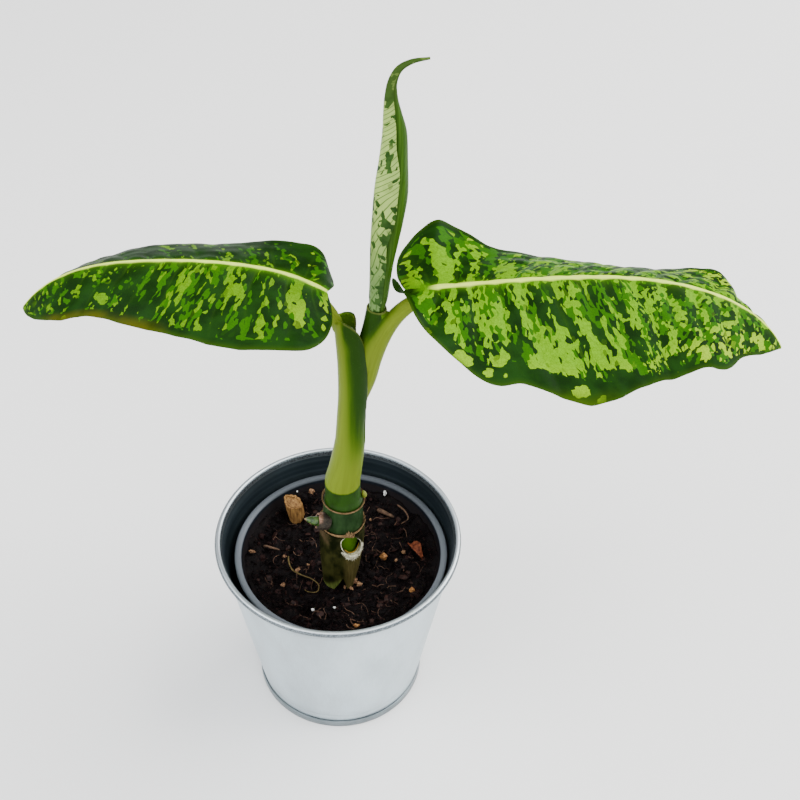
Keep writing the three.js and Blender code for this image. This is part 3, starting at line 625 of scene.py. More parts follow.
def blade_finish(name, plant, lime_cut, middle_cut, bright, rust, underside=False):
    """A blade: lime and green blotches with ragged edges along the veins, and a cream midrib."""
    f = Finish(name, 0.45 if underside else 0.35, Specular_IOR_Level=0.05)
    veins = f.flat("veins")
    warped = f.wavy(veins, f.noise(veins, 1.2, 2), 0.3)
    tipward = f.noted("tipward")

    def blotches(stretch, offset):
        """Random levels that are even over each small cell, so that the blotches get ragged edges."""
        streaky = f.cells(f.stretched(warped, (7.5, 3.0, 1)), 1, "Position")
        round_ones = f.cells(f.stretched(f.flat("flat"), (6, 6, 1)), 1, "Position")
        on_veins = f.noise(f.stretched(streaky, stretch, offset), 1, 2, 0.55)
        on_flat = f.noise(f.stretched(round_ones, (0.27, 0.27, 1), offset), 1, 2, 0.55)
        return f.blend(tipward, on_veins, on_flat)

    favour, edge = f.noted("favour"), 0.006
    lime_level = f.plus(blotches((0.23, 0.125, 1), (0, 0, 0)), f.times(favour, 0.12))
    middle_level = f.plus(blotches((0.27, 0.12, 1), (31, 17, 0)), f.times(favour, 0.1))
    cloud = f.noise(veins, 0.9, 3)
    dark = f.fade(cloud, 0.35, 0.7, plant.dark, shaded(plant.dark, 2.1))
    limes = shaded(plant.lime, 0.84 * bright), shaded(plant.lime, bright)
    lime = f.mix(f.noted("pale"), f.fade(f.noise(veins, 5, 3), 0.35, 0.7, *limes), plant.pale)
    colour = f.fade(middle_level, middle_cut - edge, middle_cut + edge, dark, plant.middle)
    colour = f.fade(lime_level, lime_cut - edge, lime_cut + edge, colour, lime)
    # Round dots stand along part of the margin.
    ragged = f.wavy(f.flat("flat"), f.noise(veins, 5, 2), 0.4)
    dots = f.cells(f.stretched(ragged, (1.1, 1.1, 1)))
    colour = f.mix(f.times(f.rise(dots, 0.31, 0.29), f.noted("dots")), colour, lime)
    # A web of cross veins runs between the side veins, which are a little paler than the ground.
    web = f.cells(f.stretched(warped, (9, 7, 1)), 1, "Distance", "DISTANCE_TO_EDGE")
    colour = f.mix(f.rise(web, 0.09, 0.0, 0, 0.35), colour, (0.006, 0.03, 0.001))
    paler = f.mix(0.35, colour, (0.1, 0.25, 0.01))
    colour = f.mix(f.times(f.noted("side_vein"), 0.25), colour, paler)
    colour = f.mix(f.times(f.noted("margin"), 0.6), colour, (0.03, 0.07, 0.002))
    colour = f.mix(f.times(f.noted("rust"), f.rise(cloud, 0.25, 0.6, 0.2, 0.8)), colour, rust)
    colour = f.mix(f.noted("glow"), colour, (0.07, 0.2, 0.001))
    streak = f.noise(f.flat("flat", (0.6, 9, 1)), 1, 2)
    cream = f.fade(streak, 0.35, 0.7, shaded(plant.rib, 0.9), plant.rib)
    colour = f.mix(f.noted("rib"), colour, cream)
    if underside:
        colour = f.mix(0.4, colour, (0.12, 0.22, 0.05))
    colour = f.mix(f.noted("ear"), colour, (0.006, 0.022, 0.001))
    facing = f.add("ShaderNodeLayerWeight", {"Blend": 0.5}, "Facing")
    f.join(f.shader.inputs["Specular IOR Level"], f.rise(facing, 0.35, 0.7, 0.03, 0.004))
    return f.coat(colour, None, [(web, 0.22, 0.25), (f.noise(veins, 14, 3), 0.08, 0.15)])


def stalk_finish(name, plant, dark_from, dark_to):
    """A stalk or sheath: yellow-green on one side and dark green on the other, with fine streaks."""
    foot_top, foot_full = 170.2, 168.9
    f = Finish(name, 0.36, Specular_IOR_Level=0.025)
    lines = f.add("ShaderNodeCombineXYZ", {0: f.times(f.noted("turn"), 14), 1: f.times(f.noted("run"), 0.03)})
    streak = f.noise(lines, 1.0, 4, 0.6)
    fine = f.noise(f.stretched(lines, (4, 2, 1)), 1.0, 2)
    speck = f.cells(f.place((1, 1, 0.6)), 0.9)
    depth = f.times(f.rise(f.noted("side"), dark_from, dark_to), f.noted("deep"))
    depth = f.plus(depth, f.times(f.math("SUBTRACT", streak, 0.5), 0.5), clamp=True)
    pale = f.fade(streak, 0.3, 0.7, shaded(plant.stalk_pale, 0.8), plant.stalk_pale)
    colour = f.fade(depth, -0.05, 0.7, pale, (0.04, 0.09, 0.001))
    colour = f.fade(depth, 0.3, 1.0, colour, plant.stalk_dark)
    foot = f.plus(f.coordinate("Z"), f.times(streak, 1.5))
    colour = f.fade(foot, foot_top, foot_full, colour, (0.016, 0.05, 0.002))
    dots = f.times(f.rise(speck, 0.16, 0.08), f.rise(depth, 0.3, 0.8))
    colour = f.mix(f.times(dots, 0.35), colour, (0.06, 0.12, 0.02))
    # Painted light: the inside of a sheath is painted a brighter, speckled olive, against the shade that
    # falls there.
    brightened_inside = f.fade(speck, 0.3, 0.12, (0.06, 0.14, 0.003), (0.16, 0.27, 0.01))
    colour = f.mix(f.noted("inner"), colour, brightened_inside)
    colour = f.mix(f.noted("edge"), colour, (0.1, 0.12, 0.025))
    return f.coat(colour, f.rise(fine, 0.3, 0.7, 0.3, 0.42), [(streak, 0.12, 0.3), (fine, 0.08, 0.1)])


def cane_finish(name, plant):
    """The true stem: dark green above, bluish with pale scratches between the rings, bright green below, and
    near black lowest down.
    """
    upper_ring, lower_ring, near_black_below = (156.5, 155.5), (139, 136), (119, 113)
    f = Finish(name, 0.36, Specular_IOR_Level=0.08)
    height = f.coordinate("Z")
    cloud = f.noise(f.place((0.12, 0.12, 0.06)), 1, 4)
    streak = f.noise(f.place((0.9, 0.9, 0.05)), 1, 3)
    colour = f.fade(cloud, 0.3, 0.7, plant.cane, (0.014, 0.045, 0.003))
    blue = f.fade(cloud, 0.35, 0.65, (0.006, 0.019, 0.004), (0.018, 0.042, 0.012))
    between = f.times(f.rise(height, *upper_ring), f.rise(height, 138, 140))
    colour = f.mix(between, colour, blue)
    low = f.fade(cloud, 0.3, 0.7, (0.02, 0.06, 0.001), (0.05, 0.12, 0.002))
    colour = f.fade(height, *lower_ring, colour, low)
    # Lowest down, the cane turns near black.
    colour = f.fade(height, *near_black_below, colour, (0.004, 0.003, 0.002))
    scratch = f.rise(f.cells(f.place((0.5, 0.5, 1.1))), 0.09, 0.04)
    scratch = f.times(scratch, f.rise(f.noise(f.place(), 0.3, 2), 0.52, 0.62))
    colour = f.mix(f.times(scratch, 0.8), colour, (0.12, 0.15, 0.1))
    return f.coat(colour, f.rise(streak, 0.3, 0.7, 0.3, 0.48), [(cloud, 0.15, 0.5), (streak, 0.15, 0.2)])


def husk_finish(name, low, high, grain=(0.9, 0.9, 0.12), roughness=0.75):
    """Dry papery or fibrous husk, streaked along its length."""
    f = Finish(name, roughness, Specular_IOR_Level=0.15)
    fibre = f.noise(f.place(grain), 1, 5, 0.65)
    blot = f.noise(f.place(), 0.25, 4, 0.6)
    colour = f.fade(fibre, 0.3, 0.7, low, high)
    colour = f.mix(f.rise(blot, 0.5, 0.75, 0, 0.6), colour, shaded(low, 0.45))
    return f.coat(colour, None, [(fibre, 0.5, 0.3), (blot, 0.2, 0.4)])


def old_sheath_finish(name):
    """Old leaf base: dark olive and brown blots, a tan strip under the window, pale green leg ends."""
    f = Finish(name, 0.55, Specular_IOR_Level=0.1)
    height, left = f.coordinate("Z"), f.coordinate("X")
    blot = f.noise(f.place((0.14, 0.14, 0.1)), 1, 5, 0.65)
    fibre = f.noise(f.place((0.8, 0.8, 0.08)), 1, 4)
    colour = f.fade(blot, 0.35, 0.65, (0.004, 0.0055, 0.001), (0.026, 0.026, 0.005))
    tan = f.fade(fibre, 0.3, 0.7, (0.04, 0.032, 0.008), (0.085, 0.068, 0.022))
    strip = f.times(f.rise(left, 3, 6.5), f.rise(height, 131, 124))
    colour = f.mix(f.times(strip, 0.85), colour, tan)
    slanting = f.math("SUBTRACT", height, f.times(left, 0.8))
    leg = f.times(f.rise(slanting, 103, 99), f.rise(left, 3, 2))
    colour = f.mix(leg, colour, f.fade(fibre, 0.3, 0.7, (0.05, 0.07, 0.012), (0.11, 0.13, 0.03)))
    bare = f.times(f.rise(blot, 0.42, 0.6), f.rise(left, 3, -1))
    pale = f.times(f.rise(height, 128, 134), bare)
    colour = f.mix(f.times(pale, 0.75), colour, (0.065, 0.04, 0.02))
    torn = f.fade(fibre, 0.3, 0.7, (0.12, 0.11, 0.05), (0.34, 0.33, 0.22))
    colour = f.mix(f.noted("torn"), colour, torn)
    return f.coat(colour, f.rise(blot, 0.3, 0.7, 0.4, 0.7), [(fibre, 0.3, 0.3), (blot, 0.3, 0.6)])


def young_finish(name, plant):
    """The rolled leaf: silvery underside with dark patches and slanting veins, and a plain dark strip."""
    f = Finish(name, 0.45, Specular_IOR_Level=0.04)
    skin = f.flat("skin")
    tile = f.cells(f.stretched(skin, (5.0, 3.6, 1), turn=0.5), 1, "Position")
    patch = f.noise(f.stretched(tile, (0.34, 0.3, 1)), 1, 2, 0.6)
    level = f.plus(patch, f.times(f.noted("favour"), 0.12))
    lit = f.fade(f.coordinate("Z"), 296, 350, shaded(plant.silver, 0.55), (0.3, 0.42, 0.1))
    silver = f.fade(f.noise(skin, 1.4, 4), 0.3, 0.7, f.mix(0.3, lit, (0.05, 0.1, 0.02)), lit)
    slanted = f.stretched(skin, (1, 1, 1), turn=-0.95)
    bands = {"Vector": slanted, "Scale": 1.25, "Distortion": 1.6, "Detail": 1.0}
    vein = f.add("ShaderNodeTexWave", bands, "Fac", bands_direction="Y")
    silver = f.mix(f.rise(vein, 0.84, 1.0, 0, 0.85), silver, (0.045, 0.1, 0.02))
    dark = f.fade(f.noise(skin, 2.5, 3), 0.3, 0.7, (0.012, 0.036, 0.005), (0.03, 0.075, 0.012))
    colour = f.fade(level, 0.55, 0.562, silver, dark)
    streaks = f.noise(f.stretched(skin, (9, 0.25, 1)), 1, 3)
    strip = f.fade(streaks, 0.42, 0.68, (0.022, 0.06, 0.004), (0.038, 0.092, 0.008))
    colour = f.mix(f.noted("strip"), colour, strip)
    colour = f.mix(f.noted("tip"), colour, (0.03, 0.06, 0.008))
    return f.coat(colour, None, [(vein, 0.12, 0.3), (f.noise(skin, 9, 3), 0.08, 0.15)])


# ------------------------------------------------------------------------------------------ pots


def bud_finish(name):
    """The side bud: mottled green, with a dry tan tip."""
    f = Finish(name, 0.32)
    patch = f.noise(f.place(), 0.5, 3)
    colour = f.fade(patch, 0.35, 0.65, (0.012, 0.035, 0.004), (0.05, 0.1, 0.015))
    colour = f.fade(f.coordinate("X"), -15.4, -16.8, colour, (0.16, 0.1, 0.04))
    return f.coat(colour, None, [(patch, 0.2, 0.3)])


def bract_finish(name):
    """The scale round the bud's foot: dark brown, with a pinkish torn tip and upper part."""
    f = Finish(name, 0.6, Specular_IOR_Level=0.2)
    out = f.coordinate("X")
    crease = f.noise(f.place((0.3, 1, 1)), 0.8, 5, 0.65)
    body = f.fade(crease, 0.3, 0.7, (0.005, 0.0032, 0.002), (0.035, 0.026, 0.016))
    upper = f.times(f.rise(f.coordinate("Z"), 148.2, 150.2), f.rise(out, -6, -8.5))
    torn = f.math("MAXIMUM", f.rise(out, -10.2, -11.2), upper)
    pink = f.fade(crease, 0.35, 0.65, (0.12, 0.055, 0.034), (0.3, 0.17, 0.11))
    return f.coat(f.mix(torn, body, pink), None, [(crease, 0.5, 0.4)])


def rim_bead(rim_radius, height, bead):
    """Outline of the rolled rim, from under its outside, over the top, to the inside."""
    from_under, to_inside, steps = math.radians(-115), math.radians(180), 24
    turns = np.linspace(from_under, to_inside, steps)
    return [(rim_radius - bead + bead * math.cos(t), height - bead + bead * math.sin(t)) for t in turns]


class PotLine:
    """The taper of the zinc wall, from its foot in the crimp to under the roll of the rim."""

    roll_inset, roll_depth, crimp_wall, crimp_play = 3.3, 3.0, 0.7, 0.85
    base_sheet, gap = 0.8, 0.3

    def __init__(self, pot):
        self.foot = (pot.foot_radius / MM - self.crimp_wall - self.crimp_play, self.base_sheet + 2 * self.gap)
        self.head = (pot.rim_radius / MM - self.roll_inset, pot.height / MM - self.roll_depth)

    def radius(self, height):
        share = (height - self.foot[1]) / (self.head[1] - self.foot[1])
        return self.foot[0] + (self.head[0] - self.foot[0]) * share


def make_zinc_pot(pot):
    line = PotLine(pot)
    sheet = pot.sheet / MM
    press, press_depth = 12, 0.35
    bead = rim_bead(pot.rim_radius / MM, pot.height / MM, pot.bead_radius / MM)
    foot_radius, foot_z = line.foot
    head_radius, head_z = line.head
    outside = [(foot_radius, foot_z)]
    outside += [(line.radius(z), z) for z in (6, press - 1.6, press - 0.8)]
    outside += [(line.radius(press) - press_depth, press)]
    outside += [(line.radius(z), z) for z in (press + 0.8, press + 1.6, 30, 50, 70, 90, 105)]
    outside += [(head_radius, head_z - 1)]
    inside = [(head_radius - sheet, head_z - 1)]
    inside += [(line.radius(z) - sheet, z) for z in (105, 90, 70, 50, 30, 10)]
    inside += [(foot_radius - sheet, foot_z), (foot_radius, foot_z)]
    wall = turned("zinc_wall", outside + bead + inside, pot.facets)
    points = places_of(wall)
    inside = np.hypot(points[:, 0], points[:, 1]) < line.radius(points[:, 2]) - sheet / 2
    note(wall, "inside", inside & (points[:, 2] < head_z))
    settle(wall, [zinc_finish("zinc", pot.zinc, inside=True)], ["cachepot_wall"], 60)

    foot, height = pot.foot_radius / MM, pot.foot_height / MM
    slot_out, slot_in = foot - line.crimp_wall, foot_radius - sheet - line.gap
    recess, pad, ring_in = 1.4, 30, slot_in - 2.5
    profile = [(0.5, 0), (pad, 0), (pad + 2, recess), (ring_in - 1, recess), (ring_in, 0)]
    profile += [(foot - 0.5, 0), (foot - 0.15, 0.15), (foot, 0.5), (foot, height - 0.5)]
    profile += [(foot - 0.12, height - 0.12), (slot_out + 0.1, height), (slot_out, height - 0.1)]
    profile += [(slot_out, line.base_sheet)]
    profile += [(slot_in, line.base_sheet), (slot_in, recess + line.base_sheet)]
    profile += [(pad + 2, recess + line.base_sheet), (pad, line.base_sheet), (0.5, line.base_sheet)]
    base = turned("zinc_base", profile, pot.facets, capped=True)
    tone = shaded(pot.zinc, 0.42)
    settle(base, [zinc_finish("zinc_edge", tone, 0.2)], ["cachepot_base"], 50)


GROWER = SimpleNamespace(
    shift=1.5, top=106, lip=61.2, floor=42, wall=1.2, rim_depth=10, slope=0.153, bottom=2.5, drains=6
)


def grower_wall(height):
    return GROWER.floor + GROWER.slope * (height - GROWER.bottom - 1)


def make_grower_pot(pot):
    g = GROWER
    step, band = g.top - g.rim_depth, g.lip - 2.4
    profile = [(0.5, g.bottom), (g.floor - 1, g.bottom)]
    profile += [(g.floor - 0.3, g.bottom + 0.3), (g.floor, g.bottom + 1)]
    profile += [(grower_wall(z), z) for z in (20, 40, 60, 80, step - 0.5)]
    profile += [(grower_wall(step) + 0.3, step + 0.1), (band, step + 1.2), (band + 0.5, g.top - 1.6)]
    rim = [(0, 1.6), (0, 0.7), (0.3, 0.2), (0.9, 0), (2.9, 0), (3.5, 0.4), (3.8, 1.2), (4.2, 3), (5, 6)]
    profile += [(g.lip - inward, g.top - down) for inward, down in rim]
    profile += [(grower_wall(step) - g.wall, step - 0.5)]
    profile += [(grower_wall(z) - g.wall, z) for z in (80, 60, 40, 20, g.bottom + g.wall + 1)]
    profile += [(g.floor - g.wall - 1, g.bottom + g.wall), (0.5, g.bottom + g.wall)]
    piece = turned("grower_pot", profile, pot.facets, g.shift, capped=True)
    drain_circle, drain = 30, dict(vertices=32, radius=4.5 * MM, depth=6 * MM)
    for k in range(g.drains):
        turn = math.tau * k / g.drains
        middle = metres(g.shift + drain_circle * math.cos(turn), drain_circle * math.sin(turn), g.bottom)
        carve(piece, primitive("cylinder", **drain, location=middle))
    settle(piece, [plastic_finish("dark_plastic", pot.plastic)], ["nursery_pot"], 50)


# ------------------------------------------------------------------------------------------ soil

CANE_LINE = [
    (0.6, -11.0, 56, 7.0), (0.9, -10.5, 92, 7.2), (1.4, -9.4, 105, 8.0), (1.9, -8.2, 114, 8.6),
    (2.4, -7.2, 126, 9.2), (2.6, -6.8, 133, 10.1), (2.8, -6.5, 137.5, 11.2), (3.0, -6.1, 141.5, 11.5),
    (3.3, -5.8, 146, 11.1), (3.5, -5.4, 152, 10.8), (3.6, -5.2, 156.5, 10.7), (3.5, -5.1, 158.5, 9.9),
    (3.3, -5.0, 165.0, 9.6), (3.3, -5.0, 168.2, 9.5),
]
STUB_LINE = [
    (-27.3, 36, 84, 4.2), (-27.8, 35.8, 94, 4.7), (-28.8, 36.2, 100.5, 5.0), (-29.6, 36.6, 105.3, 4.9),
]


BANK = SimpleNamespace(start=34, width=19, rise=6.5, stub_clear=4, stub_soft=7)


def soil_height(x, y, level):
    """The lumpy surface: level round the foot of the stem, and climbing to the wall except by the stub."""
    foot_x, foot_y = CANE_LINE[1][:2]
    stub_x, stub_y = STUB_LINE[1][:2]
    level_round_stem, soft = 13, 11
    lumps = (
        1.1 * np.sin(0.21 * x + 0.13 * y)
        + 0.9 * np.sin(0.37 * x - 0.29 * y + 1)
        + 0.7 * np.sin(0.11 * x + 0.47 * y + 2)
        + 0.6 * np.cos(0.55 * x + 0.19 * y)
    )
    t = rising(np.hypot(x - foot_x, y - foot_y), level_round_stem, soft)
    climb = rising(np.hypot(x - GROWER.shift, y), BANK.start, BANK.width) ** 2
    clear = rising(np.hypot(x - stub_x, y - stub_y), BANK.stub_clear, BANK.stub_soft)
    bank = BANK.rise * climb * clear * (1 + 0.2 * np.sin(7 * np.arctan2(y, x)))
    return level - 0.2 + t * t * (3 - 2 * t) * lumps + bank


def crumb_shapes(rng, levels, flatness):
    """A few knobbly pebbles of unit size, from icospheres pushed about."""
    shapes = []
    for k in range(8):
        ball = primitive("ico_sphere", subdivisions=levels, radius=1)
        points = np.array([v.co[:] for v in ball.data.vertices])
        faces = [list(p.vertices) for p in ball.data.polygons]
        bpy.data.objects.remove(ball)
        points *= 1 + 0.75 * ripple(points, 0.75, k + levels)[:, None]
        points *= [1, 0.5 + 0.5 * rng.random(), flatness * (0.6 + 0.6 * rng.random())]
        shapes.append((points, faces))
    return shapes


def scatter(name, spots, shapes, rng, tumble=math.pi):
    """One piece of many copies of the shapes, each at (x, y, z, size), with a random shade."""
    parts, shades = [], []
    for x, y, z, size in spots:
        shape, sides = rng.choice(shapes)
        spin, lean = rng.uniform(0, math.tau), rng.uniform(-tumble, tumble)
        turn = Matrix.Rotation(spin, 3, "Z") @ Matrix.Rotation(lean, 3, "X")
        parts.append((shape @ np.array(turn).T * size + [x, y, z], sides))
        shades.append(np.full(len(shape), rng.random()))
    piece = gathered(name, parts)
    note(piece, "shade", np.concatenate(shades))
    return piece


def soil_spots(rng, number, size_of, level, sink=0.3, reach=52.5):
    """Random places on the soil, clear of the stem and the stub."""
    (stem_x, stem_y), stem_clear = CANE_LINE[1][:2], 8.5
    (stub_x, stub_y), stub_clear = (-27.8, 36), 5
    spots = []
    while len(spots) < number:
        radius, turn = reach * math.sqrt(rng.random()), rng.uniform(0, math.tau)
        x, y = GROWER.shift + radius * math.cos(turn), radius * math.sin(turn)
        if math.hypot(x - stem_x, y - stem_y) < stem_clear or math.hypot(x - stub_x, y - stub_y) < stub_clear:
            continue
        size = size_of()
        spots.append((x, y, float(soil_height(x, y, level)) + size * (0.5 - sink), size))
    return spots


def make_soil(soil):
    rng = random.Random(soil.seed)
    level = soil.level / MM
    peat = peat_finish("peat", soil.peat)
    bottom, edge = 4.0, grower_wall(level) - GROWER.wall - 0.4
    profile = [(0.5, bottom), (grower_wall(bottom) - GROWER.wall - 1.9, bottom)]
    profile += [(grower_wall(bottom + 2) - GROWER.wall - 0.3, bottom + 2), (edge, level - 3)]
    rows = 60
    profile += [(edge * (1 - k / rows) + 0.4, level) for k in range(rows + 1)]
    ground = turned("soil_bed", profile, 180, GROWER.shift, capped=True)
    points = places_of(ground)
    top = points[:, 2] > level - 0.5
    x, y = points[top, 0], points[top, 1]
    rough = 1.5 * ripple(points[top], 4.2, 1) + 1.0 * ripple(points[top], 1.5, 2)
    points[top, 2] = soil_height(x, y, level) + rough
    out = np.hypot(x - GROWER.shift, y) / edge
    spread = 1 + 0.2 * np.maximum(points[top, 2] - level, 0) / edge * out**6
    points[top, 0] = GROWER.shift + (x - GROWER.shift) * spread
    points[top, 1] *= spread
    move_points(ground, points)
    note(ground, "shade", 0.3 + 0.3 * ripple(points, 2.5, 5))
    settle(ground, [peat], ["soil"], 80)

    fine = soil_spots(rng, soil.crumbs, lambda: min(0.36 * math.exp(rng.gauss(0.3, 0.5)), 1.9), level)
    settle(scatter("soil_crumbs", fine, crumb_shapes(rng, 1, 0.8), rng), [peat], sharp=5)
    coarse = soil_spots(rng, 210, lambda: rng.uniform(1.1, 3.0), level, 0.55, 51)
    settle(scatter("soil_clods", coarse, crumb_shapes(rng, 2, 0.6), rng), [peat], sharp=15)

    bark = plain_natural("bark", (0.006, 0.0025, 0.002), (0.028, 0.01, 0.007), 0.5, 0.6, (0.4, 1, 1))
    chips = soil_spots(rng, soil.chips, lambda: rng.uniform(0.9, 2.7), level, 0.0, 50)
    settle(scatter("bark_chips", chips, crumb_shapes(rng, 1, 0.3), rng, 1.2), [bark], sharp=8)


def strand(points, radius, sides=6, steps=24):
    """Points and faces of one thin strand along these points."""
    frames = frames_along([(*p, 1.0) for p in points], steps, (0.3, 0.2, 1))
    turn = circle(sides)[None]
    share = np.linspace(0, 1, steps + 1)[:, None]
    taper = radius * (1 - 0.55 * share) * np.sqrt(np.clip(np.minimum(share, 1 - share) * 12, 0.15, 1))
    body = rings(frames, turn, taper + 0 * turn).reshape(-1, 3)
    faces = wrap_faces(steps + 1, sides)
    faces += [list(range(sides - 1, -1, -1)), [steps * sides + j for j in range(sides)]]
    return body, faces


def on_soil(x, y, level, lift=0.6):
    return (x, y, float(soil_height(np.float64(x), np.float64(y), level)) + lift)


# What stands out on the soil. Bits: x, y, radius. Sticks: their thickness, then x, y, lift of each point.
WHITE_BITS = [(25.4, 49.4, 1.5), (-12.8, -32.6, 0.9), (-0.8, -31.9, 0.8), (-28.0, 47.5, 0.5)]
TAN_GRIT = [
    (-19.5, 49.3, 1.9), (-50.4, 0.8, 1.7), (-32.1, 4.0, 1.2), (37.4, 11.2, 1.4), (33.3, 2.4, 1.1),
    (0.3, -14.5, 1.5), (4.4, -16.5, 1.3), (9.4, -12.6, 2.1), (12.4, -15.0, 1.9), (7.9, -17.9, 1.4),
    (-31.2, -16.7, 1.5), (-23.3, -6.5, 1.3), (-17.9, -1.7, 1.0), (17.2, 34.0, 0.9),
]
ORANGE_BALLS = [(25.6, 5.6, 2.1), (42.8, -19.8, 1.8), (12.3, -46.6, 1.5)]


CURLY_ROOT = [
    (-30.0, 9.4, 0.3), (-29.5, 1, 2.0), (-27.0, -5.5, 3.2), (-21.9, -10.5, 2.2), (-14.3, -12.4, 1.5),
    (-10.5, -17.3, 2.4), (-11.3, -21.6, 2.2), (-15.2, -22.5, 1.4), (-18.4, -19.0, 0.8), (-17, -16.5, 0.2),
]


STICKS = [
    (1.6, [(21, 41, 1.4), (26.2, 39.4, 2.2), (31.4, 35.3, 1.4)]),
    (0.9, [(-45, 9.2, 1), (-40.5, 9, 1.4), (-35.6, 9.2, 1)]),
    (0.6, [(33, 41.5, 1.2), (38, 38, 2.2), (39.8, 33.1, 1.4), (35.5, 31, 1.0)]),
]


def make_soil_bits(soil):
    rng = random.Random(soil.seed + 1)
    level = soil.level / MM
    groups = [
        ("white_bits", WHITE_BITS, 0.85, ((0.5, 0.5, 0.48), (0.75, 0.75, 0.72)), 0.45),
        ("tan_grit", TAN_GRIT, 0.7, ((0.07, 0.03, 0.014), (0.3, 0.17, 0.09)), 0.7),
        ("orange_balls", ORANGE_BALLS, 0.9, ((0.16, 0.06, 0.015), (0.42, 0.2, 0.07)), 0.4),
    ]
    for name, spots, flatness, (low, high), roughness in groups:
        placed = [(x, y, float(soil_height(x, y, level)) + 0.8 * r + 0.5, r) for x, y, r in spots]
        piece = scatter(name, placed, crumb_shapes(rng, 3, flatness), rng)
        settle(piece, [plain_natural(name, low, high, 0.8, roughness)], sharp=60)

    line = [on_soil(x, y, level, lift) for x, y, lift in CURLY_ROOT]
    tan = plain_natural("root_tan", (0.05, 0.034, 0.01), (0.14, 0.1, 0.035), 0.6, 0.6)
    settle(gathered("curly_root", [strand(line, 0.5, 8, 60)]), [tan], sharp=80)

    fibres, points, furthest = [], 5, 52
    for _ in range(soil.fibres):
        x, y = soil_spots(rng, 1, lambda: 1, level, reach=47)[0][:2]
        heading, bend, reach = rng.uniform(0, 6.3), rng.uniform(-1.2, 1.2), rng.uniform(3, 11)
        line = []
        for _ in range(points):
            line.append(on_soil(x, y, level, rng.uniform(0.2, 1.9)))
            x += reach / 4 * math.cos(heading)
            y += reach / 4 * math.sin(heading)
            heading += bend / 2 + rng.uniform(-0.4, 0.4)
        if max(math.hypot(p[0] - GROWER.shift, p[1]) for p in line) < furthest:
            fibres.append(strand(line, rng.uniform(0.12, 0.3), 5, 12))
    brown = plain_natural("fibre_brown", (0.03, 0.015, 0.011), (0.15, 0.08, 0.05), 0.3, 0.6)
    settle(gathered("fibres", fibres), [brown], sharp=80)

    sticks = []
    for thick, row in STICKS:
        sticks.append(strand([on_soil(x, y, level, lift) for x, y, lift in row], thick, 12, 20))
    twig = plain_natural("twig", (0.03, 0.016, 0.01), (0.13, 0.075, 0.045), 0.6, 0.7, (0.5, 0.5, 1))
    settle(gathered("twigs", sticks), [twig], sharp=60)

    make_leaf_scrap(level)


def make_leaf_scrap(level):
    """A curled scrap of reddish dead leaf."""
    columns, rows = 14, 22
    start_x, start_y, long_x, long_y = 41.9, 15.6, 6.8, 11.5
    half_width, edge_curl, arch, sheet = 3.0, 2.2, 1.6, 0.35
    points = []
    for i in range(rows):
        share = i / (rows - 1)
        x, y = start_x + long_x * share, start_y - long_y * share
        width = half_width * math.sin(math.pi * (0.12 + 0.86 * share) ** 0.7) ** 1.3 + 0.25
        for j in range(columns):
            v = 2 * j / (columns - 1) - 1
            jag = 1 + 0.35 * noise.noise(Vector((share * 7, v * 2, 3)))
            z = on_soil(x, y, level, 1.2)[2] + edge_curl * abs(v) ** 1.6 + arch * math.sin(3 * share)
            points.append((x + width * v * 0.9 * jag, y + width * v * 0.35, z))
    scrap = new_piece("leaf_scrap", points, grid_faces(rows, columns).tolist())
    modify(scrap, "SOLIDIFY", thickness=sheet * MM, offset=0)
    red = plain_natural("dead_leaf", (0.05, 0.01, 0.005), (0.24, 0.065, 0.026), 0.5, 0.6)
    settle(scrap, [red], sharp=60)


# ------------------------------------------------------------------------------------------ stem


def cane_at(height):
    x, y, radius = through([(z, cx, cy, r) for cx, cy, z, r in CANE_LINE], height)
    return float(x), float(y), float(radius)


def make_cane(plant):
    def relief(frames, turn):
        points = rings(frames, turn, 10.0 + 0 * turn + 0 * frames.sizes[:, :1])
        bumps = ripple(points.reshape(-1, 3) * [1, 1, 0.35], 6, 3).reshape(points.shape[:2])
        height = frames.place[:, 2:3]
        return 0.28 * bumps * (falling(height, 168.2, 5) * rising(height, 92, 4))

    piece = rod("true_stem", CANE_LINE, 96, 180, relief=relief)
    settle(piece, [cane_finish("cane_green", plant)], ["cane"], 60)


# Section of a leaf scar: how far out, how far up, and how much it may stray there.
SCAR_SECTION = [
    (0, -0.5, 0), (0.7, -0.42, 0.1), (1.0, -0.1, 0.3), (1.25, 0.4, 0.9), (1.15, 0.55, 1.0), (0.8, 0.5, 0.7),
    (0.4, 0.2, 0.3), (0.0, 0.1, 0),
]


def make_scar(name, node, height, tilt_x, tilt_y, depth, ragged, finish):
    """A papery ring left by a fallen leaf, its thin edge flaring up and out and a little torn."""
    x, y, radius = cane_at(height)
    sides, gap, ledge, front = 160, 0.3, 0.75, 0.25
    turn = circle(sides)
    wobble, tears = ruffle(turn, 3, ragged * 9), ruffle(turn, 9, ragged * 5)
    thick = 1 + 0.7 * ragged * np.clip(-np.sin(turn - front), 0, 1) ** 3
    loops = []
    for out, up, loose in SCAR_SECTION:
        r = radius + gap + ledge * out + loose * ragged * (0.5 * wobble + 0.5 * tears)
        z = up * depth * thick + loose * ragged * (0.9 * wobble + 0.6 * tears)
        loops.append(np.stack([r * np.cos(turn), r * np.sin(turn), z], 1))
    points = np.stack(loops, 1).reshape(-1, 3)
    faces = [[v % len(points) for v in face][::-1] for face in wrap_faces(sides + 1, len(SCAR_SECTION))]
    tilt = Matrix.Rotation(math.radians(tilt_y), 3, "Y") @ Matrix.Rotation(math.radians(tilt_x), 3, "X")
    points = points @ np.array(tilt).T + [x, y, height]
    settle(new_piece(name, points, faces), [finish], [node], 60)


